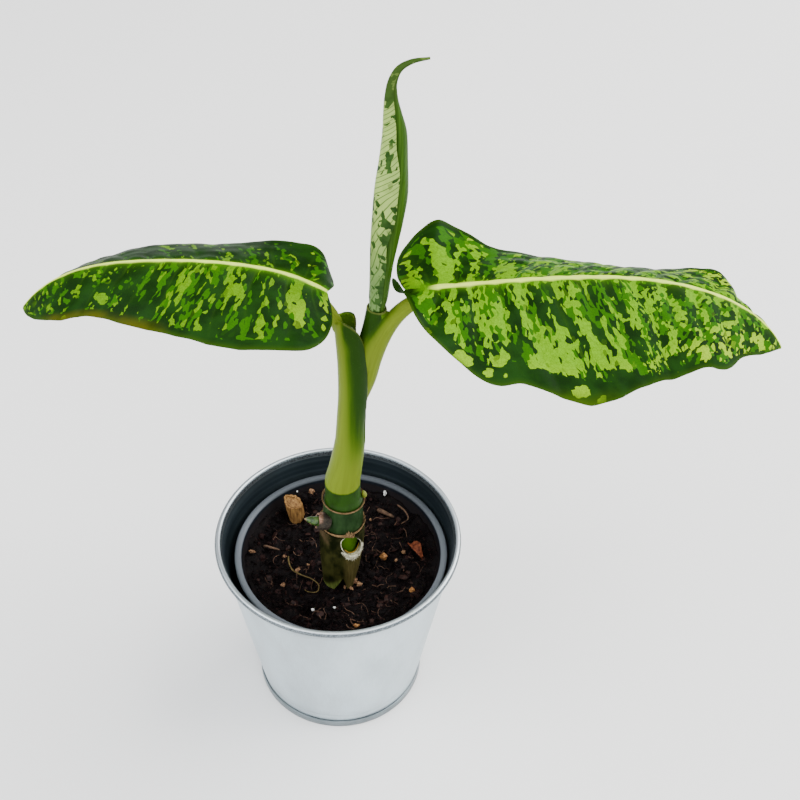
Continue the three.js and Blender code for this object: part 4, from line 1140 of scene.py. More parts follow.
OLD_SHEATH_LINE = [
    (0.9, -10.5, 93, 9.4, 1.3), (1.4, -9.4, 104, 10.7, 1.2), (1.9, -8.2, 114, 11.8, 1.2),
    (2.5, -7.1, 126, 12.5, 1.1), (2.8, -6.5, 137.5, 12.7, 1.0),
]
WINDOW = SimpleNamespace(x=9.0, y=-19.5, z=130.2, wide=5.7, deep=9.0, tall=8.6, lean=0.3)


def window_reach(x, y, z):
    """How far out a place lies from the window's middle: 1 on the edge of the hole."""
    x = x + WINDOW.lean * (z - WINDOW.z)
    across, along = (x - WINDOW.x) / WINDOW.wide, (y - WINDOW.y) / WINDOW.deep
    return np.sqrt(across**2 + along**2 + ((z - WINDOW.z) / WINDOW.tall) ** 2)


def window_cutter():
    """An egg, leaning with the oval window that was cut in the old leaf base."""
    egg = primitive("uv_sphere", segments=48, ring_count=32, radius=1)
    egg.scale = metres(WINDOW.wide, WINDOW.deep, WINDOW.tall)
    egg.location = metres(WINDOW.x, WINDOW.y, WINDOW.z)
    bpy.ops.object.transform_apply()
    points = places_of(egg)
    points[:, 0] -= WINDOW.lean * (points[:, 2] - WINDOW.z)
    move_points(egg, points)
    return egg


def notch_cutter():
    """A leaning cone, for the notch between the old leaf base's two legs."""
    lean = 0.16
    cone = primitive(
        "cone", vertices=24, radius1=11 * MM, radius2=0.3 * MM, depth=13 * MM, location=metres(3.8, -20, 98)
    )
    cone.scale = (0.42, 1.2, 1)
    bpy.ops.object.transform_apply()
    points = places_of(cone)
    points[:, 0] -= lean * (points[:, 2].max() - points[:, 2])
    move_points(cone, points)
    return cone


def on_window_edge(turn, out=0.0, grow=1.0):
    """The window's edge in this direction from its middle, found by walking out on the sheath."""
    line = [(z, x, y, radius) for x, y, z, radius, _ in OLD_SHEATH_LINE]
    low, high, halvings = 0.0, 16.0, 24
    for _ in range(halvings):
        reach = (low + high) / 2
        z = WINDOW.z + reach * math.sin(turn)
        cx, cy, r = (float(v) for v in through(line, z))
        swing = math.asin((WINDOW.x - cx) / r) + reach * math.cos(turn) / r
        x, y = cx + (r + out) * math.sin(swing), cy - (r + out) * math.cos(swing)
        low, high = (reach, high) if window_reach(x, y, z) < grow else (low, reach)
    return (x, y, z)


def make_window_rim():
    """The torn, fibrous rim of the window: thin above, thick and white below, with a gold seam inside."""
    rng, fibres = random.Random(11), 170
    rim = [on_window_edge(t, 0.1, 1.0) for t in np.radians(np.linspace(118, 422, 40))]
    strands = [strand(rim, 0.26, 8, 120)]
    for grow, first, last, thick in ((1.06, 226, 326, 0.6), (1.17, 234, 320, 0.85), (1.3, 244, 312, 0.8)):
        low = [on_window_edge(t, 0.05, grow) for t in np.radians(np.linspace(first, last, 24))]
        strands.append(strand(low, thick, 8, 80))
    for _ in range(fibres):
        turn = math.radians(rng.uniform(212, 338))
        reach = rng.uniform(0.05, 0.45) * max(-math.sin(turn), 0.1) ** 1.5
        inner, outer = rng.uniform(0.98, 1.02), 1.06 + reach
        slant = rng.uniform(-0.12, 0.12)
        path = [
            on_window_edge(turn + slant * k, rng.uniform(0.2, 0.9), inner + (outer - inner) * k / 3)
            for k in range(4)
        ]
        strands.append(strand(path, rng.uniform(0.12, 0.24), 5, 8))
    cream = plain_natural("window_fibre", (0.24, 0.22, 0.14), (0.62, 0.6, 0.46), 0.7, 0.8)
    settle(gathered("window_rim", strands), [cream], sharp=80)

    amber = plain_natural("window_gold", (0.2, 0.1, 0.008), (0.36, 0.22, 0.02), 0.6, 0.5)
    seam = [on_window_edge(t, -1.7, 1.0) for t in np.linspace(math.radians(215), math.radians(335), 20)]
    settle(gathered("window_seam", [strand(seam, 0.38, 6, 40)]), [amber], sharp=80)


def make_old_sheath():
    slit, sides, wrinkles = math.radians(4), 150, 0.45
    frames = frames_along(OLD_SHEATH_LINE, 90, (0, 1, 0))
    turn = np.linspace(slit, math.tau - slit, sides)[None] + 0 * frames.sizes[:, :1]
    radius = frames.sizes[:, :1] + 0 * turn
    points = rings(frames, turn, radius)
    wrinkle = ripple(points.reshape(-1, 3) * [1, 1, 0.3], 5, 8).reshape(radius.shape)
    radius = radius + wrinkles * wrinkle - 0.1
    tube = rolled("old_leaf_base", frames, turn, radius, frames.sizes[:, 1:2])
    carve(tube, window_cutter(), notch_cutter())
    places = places_of(tube)
    low = falling(places[:, 2], WINDOW.z - 4.5, 3)
    note(tube, "torn", falling(window_reach(*places.T), 1.1, 0.08) * (0.1 + 0.9 * low))
    settle(tube, [old_sheath_finish("olive_husk")], ["old_sheath"], 50)
    make_window_rim()


BUD_LINE = [
    (-5.4, -13.4, 146.0, 2.6), (-8.4, -14.2, 146.6, 2.8), (-11.8, -14.8, 147.7, 2.5),
    (-15.0, -15.0, 148.7, 1.5), (-17.2, -15.0, 149.2, 0.3),
]
BRACT_LINE = [
    (-4.2, -13.2, 145.2, 4.6, 0.8), (-6.8, -13.8, 146.3, 5.0, 0.8), (-10.2, -14.5, 147.4, 4.0, 0.8),
]
BACK_BUD_LINE = [
    (14.4, -4.4, 156.9, 0.9), (14.9, -4.5, 158.2, 1.5), (14.6, -4.6, 160.0, 1.3), (14.2, -4.7, 161.8, 0.3),
]


def make_buds():
    def scales(frames, turn):
        share = np.linspace(0, 1, len(frames.place))[:, None]
        return -0.22 * np.maximum(0, np.sin(7 * share * math.pi + turn)) ** 3 * np.sin(math.pi * share)

    side = rod("side_shoot", BUD_LINE, 32, 48, relief=scales)
    settle(side, [bud_finish("bud_green")], ["side_bud"], 60)
    yellow = plain_natural("bud_yellow", (0.06, 0.09, 0.004), (0.2, 0.22, 0.02), 0.5, 0.4)
    settle(rod("rear_shoot", BACK_BUD_LINE, 28, 36, relief=scales), [yellow], ["back_bud"], 60)

    steps, wall, tip_from = 40, 0.75, -7.5
    frames = frames_along(BRACT_LINE, steps, (0, 0, -1))
    turn = np.linspace(math.radians(14), math.radians(346), 90)[None] + 0 * frames.sizes[:, :1]
    share = np.linspace(0, 1, steps + 1)[:, None]
    radius = frames.sizes[:, :1] + 0 * turn
    grain = ripple(rings(frames, turn, radius).reshape(-1, 3), 2.4, 4).reshape(radius.shape)
    radius = radius + 0.5 * grain + 0.35 * np.sin(5 * turn) * share
    scale = rolled("bract", frames, turn, radius, wall)
    points = places_of(scale)
    points[:, 0] -= falling(points[:, 0], tip_from, 3) * 1.1 * ripple(points * [0, 1, 1], 1.6, 6)
    move_points(scale, points)
    settle(scale, [bract_finish("bract_brown")], ["side_bud_bract"], 60)


def make_tuft(finish):
    """The torn flap of the lower ring, standing up at the front."""
    rng, strands = random.Random(5), []
    middle_x, front_y, foot_z, spread, tallest = 7.4, -18.6, 139.2, 2.2, 6.4
    for _ in range(26):
        spot = rng.uniform(-1, 1)
        x, y, z = middle_x + spread * spot, front_y + 0.4 * abs(spot), foot_z
        rise = (tallest - 5.2 * abs(spot) ** 0.6) * rng.uniform(0.6, 1.05)
        path = [
            (x, y, z - 0.6),
            (x + rng.uniform(-0.5, 0.5), y - 0.7, z + rise * 0.5),
            (x + rng.uniform(-0.9, 0.9), y - 0.1 + rng.uniform(-0.6, 0.5), z + rise),
        ]
        strands.append(strand(path, rng.uniform(0.3, 0.6), 6, 8))
    settle(gathered("scar_tuft", strands), [finish], sharp=60)


def make_dry_stub():
    """A hollow dried stub, cut off aslant, with a papery torn lip."""
    sides, wall, steps, deepest = 96, 1.3, 60, 57
    frames = frames_along(STUB_LINE, steps)
    turn = circle(sides)
    share = np.linspace(0, 1, steps + 1)[:, None]
    ribs = 0.22 * np.sin(11 * turn[None]) * (0.4 + 0.6 * share) + 0.25 * np.sin(3 * turn[None] + 1)
    radius = frames.sizes[:, :1] + ribs
    slant = 2.2 * np.cos(turn - math.radians(170)) ** 3 - 1.4 * np.cos(turn + math.radians(50))
    slant += 0.5 * ruffle(turn, 6, 1)
    lift = rising(share, 0.55, 0.45) ** 1.5 * slant[None]
    around = turn[None] + 0 * radius
    outer = rings(frames, around, radius) + frames.tangent[:, None] * lift[..., None]
    inner = rings(frames, around, radius - wall) + frames.tangent[:, None] * (lift - 0.25)[..., None]
    count = steps + 1 + steps - deepest
    points = np.concatenate([outer, inner[:deepest:-1]], axis=0).reshape(-1, 3)
    faces = wrap_faces(count, sides) + end_fans(sides, (count - 1) * sides, len(points), len(points) + 1)
    middle = [frames.place[0], frames.place[deepest + 1]]
    piece = new_piece("stub", np.vstack([points, middle]), faces)
    finish = husk_finish("stub_tan", (0.08, 0.032, 0.009), (0.3, 0.16, 0.05), (1.1, 1.1, 0.1), 0.6)
    settle(piece, [finish], ["dry_stub"], 60)


# ------------------------------------------------------------------------------------------ stalks

LEFT_STALK = [
    (3.3, -5.0, 167.7, 9.55), (3.35, -5.0, 170.5, 9.5), (4.4, -5.0, 177, 9.0), (6.2, -5.0, 189, 8.4),
    (7.6, -5.0, 201, 7.9),
]
# Each row: x, y, z, radius, wall, degrees from the opening to the rear and front edges, flare of the edges.
LEFT_SHEATH = [
    (7.6, -5.0, 200, 7.9, 1.6, 5, 5, 0), (8.2, -5.0, 215, 7.5, 1.6, 10, 4, 0),
    (8.9, -5.0, 233, 7.2, 1.5, 62, 4, 0.16), (8.9, -5.0, 252, 7.2, 1.5, 86, 4, 0.18),
    (8.4, -5.0, 262, 7.1, 1.5, 86, 5, 0.16), (7.8, -5.0, 270, 7.0, 1.5, 78, 12, 0.11),
    (7.2, -5.0, 276, 6.8, 1.5, 70, 26, 0.05), (6.4, -5.0, 280.3, 6.5, 1.6, 74, 48, 0),
    (5.4, -5.0, 282.4, 6.1, 1.9, 130, 66, 0), (4.4, -5.0, 283.8, 5.4, 2.0, 150, 90, 0),
]
LEFT_NECK = [
    (2.8, -5, 276, 3.2), (1.0, -5, 281.5, 2.9), (-1.6, -5, 287, 2.7), (-4.6, -5, 291.3, 2.6),
    (-7.8, -5, 293.7, 2.5),
]
RIGHT_CORE = [
    (7.8, -4.9, 201.6, 5.6), (8.3, -4.9, 214, 5.4), (9.8, -4.2, 224, 5.4), (11.6, -3.2, 234, 5.4),
    (13.4, -2.8, 246, 5.5), (15.2, -2.8, 257, 5.6),
]
RIGHT_SHEATH = [
    (14.9, -2.8, 256, 5.6, 1.5, 8, 8, 0), (17.4, -3.0, 267, 5.4, 1.3, 8, 8, 0),
    (19.4, -3.4, 278, 5.1, 1.2, 8, 8, 0), (20.8, -3.8, 288.5, 4.9, 1.1, 8, 8, 0),
]
RIGHT_NECK = [
    (12.6, -3.1, 232, 4.6), (15.9, -2.9, 243, 4.9), (18.9, -3.1, 256, 4.7), (22.7, -3.7, 269, 4.5),
    (27.4, -4.4, 280, 4.2), (32.2, -4.9, 287.4, 3.9), (37.2, -5.2, 292.4, 3.6), (42.0, -5.5, 294.5, 3.2),
]
RIGHT_WEB = [
    (16.4, -3.0, 252, 5.0), (18.6, -3.2, 262, 5.0), (21.2, -3.6, 271.5, 4.6), (23.8, -4.0, 279.5, 4.2),
    (25.8, -4.2, 284.5, 3.0),
]
YOUNG_LINE = [
    (15.6, -2.9, 258, 3.7), (17.4, -3.0, 267, 3.9), (19.4, -3.4, 278, 3.8), (20.8, -3.8, 288.5, 3.8),
    (21.4, -4.0, 295, 4.5), (22.5, -4.4, 311, 5.2), (24.0, -4.8, 328, 6.4), (25.4, -5.0, 343, 7.2),
    (26.6, -5.0, 355, 7.4), (27.3, -5.0, 370, 6.2), (27.3, -5.0, 383, 5.2), (26.4, -5.0, 391, 4.0),
    (25.8, -5.0, 399, 2.8), (26.4, -5.0, 406, 2.0), (29.0, -5.0, 411.5, 1.5), (34.0, -5.0, 414.8, 1.0),
    (41.0, -5.0, 416.5, 0.45),
]


def sheath_tube(name, line, steps, towards, sides=60):
    frames = frames_along(line, steps, towards)
    radius, wall, rear, front, flare = (frames.sizes[:, k : k + 1] for k in range(5))
    share = np.linspace(0, 1, sides)[None]
    degrees = rear + (360 - front - rear) * share
    shape = radius * (1 + flare * (np.abs(degrees - 180) / 180) ** 4)
    return rolled(name, frames, np.radians(degrees), shape, wall)


def measure_stalk(piece, line, dark_rows, edge, pale):
    """Notes for each point how far along and round the stalk it lies, for the finish."""
    frames = frames_along(line, 160)
    points = places_of(piece)
    nearest, batch, inside_from = np.empty(len(points), int), 5000, 240
    for start in range(0, len(points), batch):
        some = points[start : start + batch]
        gaps = ((some[:, None] - frames.place[None]) ** 2).sum(-1)
        nearest[start : start + batch] = gaps.argmin(1)
    away = points - frames.place[nearest]
    right = (away * frames.across[nearest]).sum(1)
    back = (away * frames.over[nearest]).sum(1)
    normals = np.array([v.normal[:] for v in piece.data.vertices])
    facing_in = ((normals * away).sum(1) < -0.5) & (points[:, 2] > inside_from)
    note(piece, "run", frames.run[nearest])
    note(piece, "turn", np.arctan2(right, -back) / math.pi)
    note(piece, "side", right / np.maximum(frames.sizes[nearest, 0], 1))
    note(piece, "deep", through(dark_rows, points[:, 2])[:, 0] * (1 - pale(points)))
    note(piece, "inner", np.where(facing_in, 1.0, 0.0))
    note(piece, "edge", edge(points))


def make_left_stalk(plant):
    open_side, axis_y = (1, -0.25, 0), -5
    stalk = rod("left_stalk", LEFT_STALK, 72, 40)
    sheath = sheath_tube("sheath", LEFT_SHEATH, 90, open_side, 90)
    whole = fused([stalk, sheath, rod("neck", LEFT_NECK, 40, 30)], 0.45)
    within = [(RIGHT_CORE, 50), ([row[:4] for row in RIGHT_SHEATH], 20), (RIGHT_NECK, 60), (RIGHT_WEB, 20)]
    carve(whole, fused([rod("room", line, 48, steps, 0.3) for line, steps in within], 0.6))
    keep_largest(whole)
    measured = [row[:4] for row in LEFT_STALK[:-1] + LEFT_SHEATH[:6]] + [LEFT_NECK[2], LEFT_NECK[4]]
    opening = math.atan2(open_side[1], open_side[0])

    def edge(points):
        """How near a point lies to the sheath's free edges, from 0 to 1."""
        open_from, edge_width = 228, 0.7
        rows = [(z, x, radius, rear, front) for x, _y, z, radius, _wall, rear, front, _flare in LEFT_SHEATH]
        x, radius, rear, front = through(rows, points[:, 2]).T
        turn = np.degrees(np.arctan2(points[:, 1] - axis_y, points[:, 0] - x) - opening) % 360
        gap = np.minimum(np.abs(turn - rear), np.abs(360 - front - turn))
        near = np.radians(gap) * radius
        return np.where(points[:, 2] > open_from, np.clip(1.2 - near / edge_width, 0, 1) * 0.8, 0)

    def bare_neck(points):
        return rising(points[:, 2], 268, 10) * falling(points[:, 0], 6, 3)

    deep = [(165, 0.0), (185, 0.12), (200, 0.45), (215, 0.75), (235, 1.0), (284, 1.0), (287, 0.2), (296, 0.0)]
    measure_stalk(whole, measured, deep, edge, bare_neck)
    settle(whole, [stalk_finish("stalk_left", plant, -0.85, 0.5)], ["petiole_left"], 70)


def make_right_stalk(plant):
    parts = [rod("right_stalk", RIGHT_CORE, 60, 60), sheath_tube("collar", RIGHT_SHEATH, 50, (0.3, 1, 0), 80)]
    parts += [rod("bend", RIGHT_NECK, 48, 80), rod("web", RIGHT_WEB, 48, 30)]
    whole = fused(parts, 0.4)
    room = [(15.2, -2.9, 256.5, 3.7)] + YOUNG_LINE[1:6]
    carve(whole, rod("room", room, 40, 40, 0.4))
    keep_largest(whole)
    measured = [row[:4] for row in RIGHT_CORE[:3] + RIGHT_NECK[1:]]

    def edge(points):
        """How near a point lies to the collar's lip, from 0 to 1."""
        collar_reach, lip_width = 5.6, 0.6
        axis = through([(row[2], *row[:2]) for row in RIGHT_SHEATH], points[:, 2])
        away = np.hypot(points[:, 0] - axis[:, 0], points[:, 1] - axis[:, 1])
        lip = through([(14, 288.9), (20.5, 288.3), (26, 286.6)], points[:, 0])[:, 0]
        near = np.clip((points[:, 2] - lip + lip_width) / lip_width, 0, 1)
        return np.where(away < collar_reach, near, 0) * 0.8

    deep = [
        (200, 0.8), (235, 0.45), (250, 0.4), (262, 0.45), (270, 0.7), (278, 1.2), (289, 1.3), (292, 0.5),
        (296, 0.3),
    ]
    measure_stalk(whole, measured, deep, edge, lambda points: 0 * points[:, 0])
    settle(whole, [stalk_finish("stalk_right", plant, -0.15, -2.3)], ["petiole_right"], 70)


# ------------------------------------------------------------------------------------------ blades

# A blade is drawn flat: distance along the midrib against distance out to the side. The midrib arches, and
# each half droops about it. A droop row holds the place along the rib, the droop there in degrees, and the
# droop at 60 mm out; a wave row holds the share of the margin and how far it lifts there.
DROOP_REACH = 60
RIGHT_BLADE = SimpleNamespace(
    base=(38.4, -5, 300.2), length=181, heading=-8, rib_from=6, ear_to=3, rib=1.4, near=-1,
    rust=(62, 100, 0.9), dots=(8, 95, 0.72),
    rise=[
        (0, 15), (0.2, 14.5), (0.4, 10.4), (0.5, 5.9), (0.6, -0.8), (0.7, -10.3), (0.8, -23.1),
        (0.9, -39.7), (1, -60.5),
    ],
    halves=[
        SimpleNamespace(
            side=1,
            outline=[
                (-4, 0.2), (-6.4, 4), (-7.4, 10), (-6.2, 16.5), (-3.8, 15.5), (-1.5, 15.5), (1, 18),
                (3.5, 22), (6.5, 26), (13.5, 34), (27, 46), (35, 51.5), (42, 53.5), (51, 52), (64, 56),
                (84, 58.5), (104, 53.5), (122, 43), (139, 36), (152, 33.5), (160, 21), (172, 11), (181, 0),
            ],
            droop=[
                (-8, -25, -330), (-4, -15, -300), (-1, -10, -180), (5, 0, -25), (14, 2, 12), (45, 15, 35),
                (90, 25, 45), (136, 25, 45), (181, 20, 40),
            ],
            waves=[
                (0, 0), (0.3, 0), (0.42, 1.5), (0.52, -1), (0.62, 2), (0.71, -3), (0.8, 3), (0.9, -2),
                (1, 0),
            ],
        ),
        SimpleNamespace(
            side=-1,
            outline=[
                (-4.5, 0.2), (-7.5, 5), (-12, 17), (-13, 30), (-6, 39), (5, 45), (20, 50), (40, 54),
                (65, 57), (85, 56), (105, 52), (125, 44), (145, 33), (165, 18), (176, 7), (181, 0),
            ],
            droop=[
                (-12.5, 0, -1), (6, -6, -10), (12, -1, -2), (18, 4, 7), (28, 12, 20), (57, 20, 34),
                (95, 25, 41), (120, 24, 39), (138, 17, 29), (147, 13, 22), (156, 21, 34), (168, 23, 38),
                (181, 20, 35),
            ],
            waves=[(0, 0), (0.1, -2), (0.2, 2), (0.3, -1), (0.5, 1), (1, 0)],
        ),
    ],
)
LEFT_BLADE = SimpleNamespace(
    base=(-3.2, -5, 298), length=158.5, heading=177.5, rib_from=-12, ear_to=-20, rib=1.0, near=1,
    rust=(68, 146, 0.86), dots=(90, 150, 0.4),
    rise=[
        (0, 33.5), (0.07, 24.2), (0.14, 15.8), (0.24, 6.5), (0.35, 1), (0.45, -3.2), (0.55, -6.6),
        (0.64, -11.5), (0.72, -19.5), (0.8, -29), (0.88, -39), (0.95, -48), (1, -54),
    ],
    halves=[
        SimpleNamespace(
            side=1,
            outline=[
                (-1, 1), (-4, 8), (-6, 15), (-5.5, 23), (1, 32), (14, 38.5), (35, 43), (60, 44), (85, 40),
                (105, 35), (125, 26), (143, 16), (153, 8.5), (157, 4), (158.5, 0),
            ],
            droop=[
                (-7, 20, 34), (3, 8, 14), (16, 12, 20), (42, 18, 30), (82, 21, 35), (100, 22, 35),
                (114, 25, 35), (128, 24, 33), (158.5, 21, 30),
            ],
            waves=[(0, 0), (0.3, 1), (0.45, -1), (0.6, 1), (1, 0)],
        ),
        SimpleNamespace(
            side=-1,
            outline=[
                (-1, 1), (-3, 6), (-5.5, 14), (-6, 23), (-3, 34), (4, 42), (17, 44.3), (39, 44.5),
                (64, 40.5), (90, 32), (104, 27.5), (116, 25.5), (128, 24), (140, 18.5), (150, 12.5),
                (156.5, 5.5), (158.5, 0),
            ],
            droop=[(-6, 0, 5), (0, 0, 5), (39, 10, 30), (78, 18, 38), (118, 20, 40), (158.5, 20, 40)],
            waves=[(0, 0), (0.35, -1), (0.5, 1.5), (0.65, -1.5), (0.78, 0.5), (0.9, -1), (1, 0)],
        ),
    ],
)


class Midrib:
    """The midrib in space."""

    def __init__(self, blade):
        self.blade = blade
        steps = 600
        middles = (np.arange(steps) + 0.5) / steps
        walk = np.cumsum(self.direction(middles) * (blade.length / steps), axis=0)
        self.places = np.vstack([[0, 0, 0], walk]) + np.array(blade.base, float)
        self.at = np.linspace(0, blade.length, steps + 1)

    def direction(self, share):
        rise = np.radians(through(self.blade.rise, share)[..., 0])
        heading = math.radians(self.blade.heading)
        ahead = np.cos(rise)
        return np.stack([math.cos(heading) * ahead, math.sin(heading) * ahead, np.sin(rise)], -1)

    def frames(self, a):
        along = self.direction(a / self.blade.length)
        inside = np.clip(a, 0, self.blade.length)
        place = np.stack([np.interp(inside, self.at, self.places[:, k]) for k in range(3)], -1)
        place = place + along * (a - inside)[..., None]
        sideways = unit(np.stack([along[..., 1], -along[..., 0], 0 * along[..., 0]], -1))
        return place, sideways, np.cross(sideways, along)


def bend_out(rib, half, a, b, lift=0.0):
    """Points of the blade's middle surface, from their flat places."""
    place, sideways, normal = rib.frames(a)
    droops = np.radians(through(half.droop, a))
    slices = 16
    out = down = 0
    for k in range(slices):
        droop = droops[..., 0] + (droops[..., 1] - droops[..., 0]) * (b * (k + 0.5) / slices / DROOP_REACH)
        out = out + np.cos(droop) * b / slices
        down = down + np.sin(droop) * b / slices
    return place + sideways * (half.side * out)[..., None] + normal * (lift - down)[..., None]


def make_half(blade, index, rib, plant, quilt, vein_spacing):
    """One half of a blade: its points, and where each of them lies on it."""
    half, side = blade.halves[index], 1 if index else -1
    rows, columns = plant.vein_rows, plant.vein_columns
    share = ((np.arange(rows) + 0.4) / rows)[:, None]
    v = (np.arange(columns + 1) / columns)[None] ** 1.15
    # A row of points follows a side vein, from its root on the midrib to its own place on the margin.
    root = blade.length * share**1.6
    dense, _ = smoothed([(a, b, 0) for a, b in half.outline])
    run = run_of(dense)
    margin_a, margin_b = (np.interp(share * run[-1], run, dense[:, k]) for k in range(2))
    sweep = 0.25 * (1 - v) * v * (margin_a - root)
    a, b = root + (margin_a - root) * v - sweep, margin_b * v
    # The blade swells between its side veins, most near the midrib.
    flat = np.stack([a, b * side, 0 * a], -1).reshape(-1, 3)
    jitter = ripple(flat, 22, 4 + index).reshape(a.shape)
    pucker = ripple(flat, 9, 9 + index).reshape(a.shape)
    phase = root / vein_spacing + 0.35 * jitter + 0.4 * index
    swell = np.abs(np.sin(math.pi * phase)) ** 0.8
    reach = np.minimum(b / 5, 1) * np.clip(1.15 - v, 0, 1) ** 0.7
    wave = through(half.waves, share[:, 0])[:, :1]
    lift = wave * v**2.5 + quilt * (swell - 0.5) * reach + 0.45 * quilt * pucker * np.minimum(b / 8, 1)
    return SimpleNamespace(
        points=bend_out(rib, half, a, b, lift), a=a, b=b, v=v + 0 * a, root=root + 0 * a, share=share + 0 * a,
        out=np.hypot(margin_a - root, margin_b) * v, side=side + 0 * a, phase=phase,
    )


def blade_faces(rows, width):
    """The upper grid, the lower one, the strips that join them at the margins, and the closed tip."""
    size = rows * width
    upper = grid_faces(rows, width)
    faces = upper.tolist() + (upper[:, ::-1] + size).tolist()
    for i in range(rows - 1):
        first, last = i * width, i * width + width - 1
        faces.append([first + size, first, first + width, first + width + size])
        faces.append([last, last + size, last + width + size, last + width])
    end, tip = (rows - 1) * width, 2 * size
    for j in range(width - 1):
        faces.append([size + j, size + j + 1, j + 1, j])
        faces += [[end + j, end + j + 1, tip], [size + end + j + 1, size + end + j, tip]]
    return faces + [[end + size, end, tip], [end + width - 1, end + width - 1 + size, tip]]


def make_blade(name, node, blade, plant, finishes, quilt, vein_spacing, favour_of, pale_of):
    rib = Midrib(blade)
    near, far = (make_half(blade, index, rib, plant, quilt, vein_spacing) for index in range(2))
    # The whole blade, from the far margin over the midrib to the near one.
    g = SimpleNamespace()
    for key, values in vars(far).items():
        setattr(g, key, np.concatenate([values[:, ::-1], getattr(near, key)[:, 1:]], axis=1))
    normal = unit(np.cross(np.gradient(g.points, axis=1), np.gradient(g.points, axis=0)))
    thickness, rib_depth, rib_width, crown_height = 0.7, 2.6, 0.09, 0.55
    under = rib_depth * (1 - g.share) ** 0.7 * np.exp(-((g.v / rib_width) ** 2))
    rib_half = blade.rib * (1 - g.root / blade.length) ** 0.8 + 0.3
    crown = crown_height * np.exp(-((g.b / rib_half) ** 2)) * (1 - g.share) ** 0.5
    top_points = g.points + normal * (thickness / 2 + crown)[..., None]
    under_points = g.points - normal * (thickness / 2 + under)[..., None]
    tip = rib.frames(np.array([blade.length]))[0][0]
    points = np.vstack([top_points.reshape(-1, 3), under_points.reshape(-1, 3), tip[None]])
    rows, width = g.a.shape
    piece = new_piece(name, points, blade_faces(rows, width))

    def both(values, at_tip):
        """The same values for the upper and the lower grid, and one for the tip."""
        flat = np.asarray(values).reshape(rows * width, -1)
        return np.vstack([flat, flat, np.full((1, flat.shape[1]), at_tip, float)])

    def keep(key, values, at_tip=0):
        note(piece, key, both(values, at_tip))

    half_shift = np.where(g.side > 0, 40, 0)
    lay_out(piece, "veins", both(np.stack([g.root / 10 + half_shift, g.out / 10], -1), 0))
    lay_out(piece, "flat", both(np.stack([g.a / 10, g.side * g.b / 10], -1), 0))
    past_vein = g.phase % 1
    from_vein = np.minimum(past_vein, 1 - past_vein) * vein_spacing
    keep("side_vein", np.clip(1 - from_vein / 0.9, 0, 1) * np.clip(1.05 - g.v, 0, 1))
    keep("rib", np.clip((rib_half - g.b) / 0.5 + 0.5, 0, 1) * rising(g.a, blade.rib_from, 5), 1)
    nearer = g.side == blade.near
    keep("ear", falling(g.a, blade.ear_to, 4) * nearer)
    for key, (start, end, inner) in (("rust", blade.rust), ("dots", blade.dots)):
        stretch = rising(g.a, start, 12) * falling(g.a, end, 12) * nearer
        keep(key, stretch * rising(g.v, inner, 0.1) * falling(g.v, 1.04, 0.04))
    keep("glow", 0.75 * np.exp(-np.maximum(g.b - rib_half, 0) / 1.5) * np.clip(1.3 - g.share, 0, 1))
    margin_width = 2.2
    from_margin = (1 - g.v) * np.maximum(g.out / np.maximum(g.v, 0.05), 1)
    keep("margin", np.clip(1 - from_margin / margin_width, 0, 1), 1)
    keep("tipward", rising(g.share, 0.62, 0.14), 1)
    keep("favour", favour_of(g), -1)
    keep("pale", pale_of(g))
    settle(piece, finishes, [node], 70)
    top_faces = (rows - 1) * (width - 1)
    index = np.zeros(len(piece.data.polygons), int)
    index[top_faces : 2 * top_faces] = 1
    piece.data.polygons.foreach_set("material_index", index)
    piece.data.update()


def blade_finishes(name, plant, *looks):
    """The finishes of a blade's upper and lower side."""
    return [blade_finish(name, plant, *looks), blade_finish(f"{name}_under", plant, *looks, underside=True)]


def make_right_blade(plant):
    def favour(g):
        far = g.side < 0
        band = falling(g.a, 112, 15) * far
        return -2.0 * rising(g.v + 0.12 * band, 0.9, 0.1) - 1.5 * falling(g.a, 4, 8) * far

    def pale(g):
        return rising(g.a, 118, 30) * rising(g.v, 0.3, 0.3) + 0.5 * rising(g.v, 0.7, 0.2)

    finishes = blade_finishes("leaf_right", plant, 0.53, 0.52, 1, (0.035, 0.07, 0.001))
    quilt = plant.quilting / MM
    make_blade("right_blade", "blade_right", RIGHT_BLADE, plant, finishes, quilt, 12.5, favour, pale)


def make_left_blade(plant):
    def favour(g):
        plain = -2.5 * rising(g.v, 0.88, 0.1)
        return plain - 0.45 * (g.side < 0) - 0.3 * rising(g.a, 60, 50)

    def pale(g):
        return 0.45 * falling(g.a, 28, 18) * rising(g.v, 0.2, 0.3)

    finishes = blade_finishes("leaf_left", plant, 0.565, 0.565, 0.75, (0.06, 0.058, 0.002))
    quilt = 0.6 * plant.quilting / MM
    make_blade("left_blade", "blade_left", LEFT_BLADE, plant, finishes, quilt, 12, favour, pale)


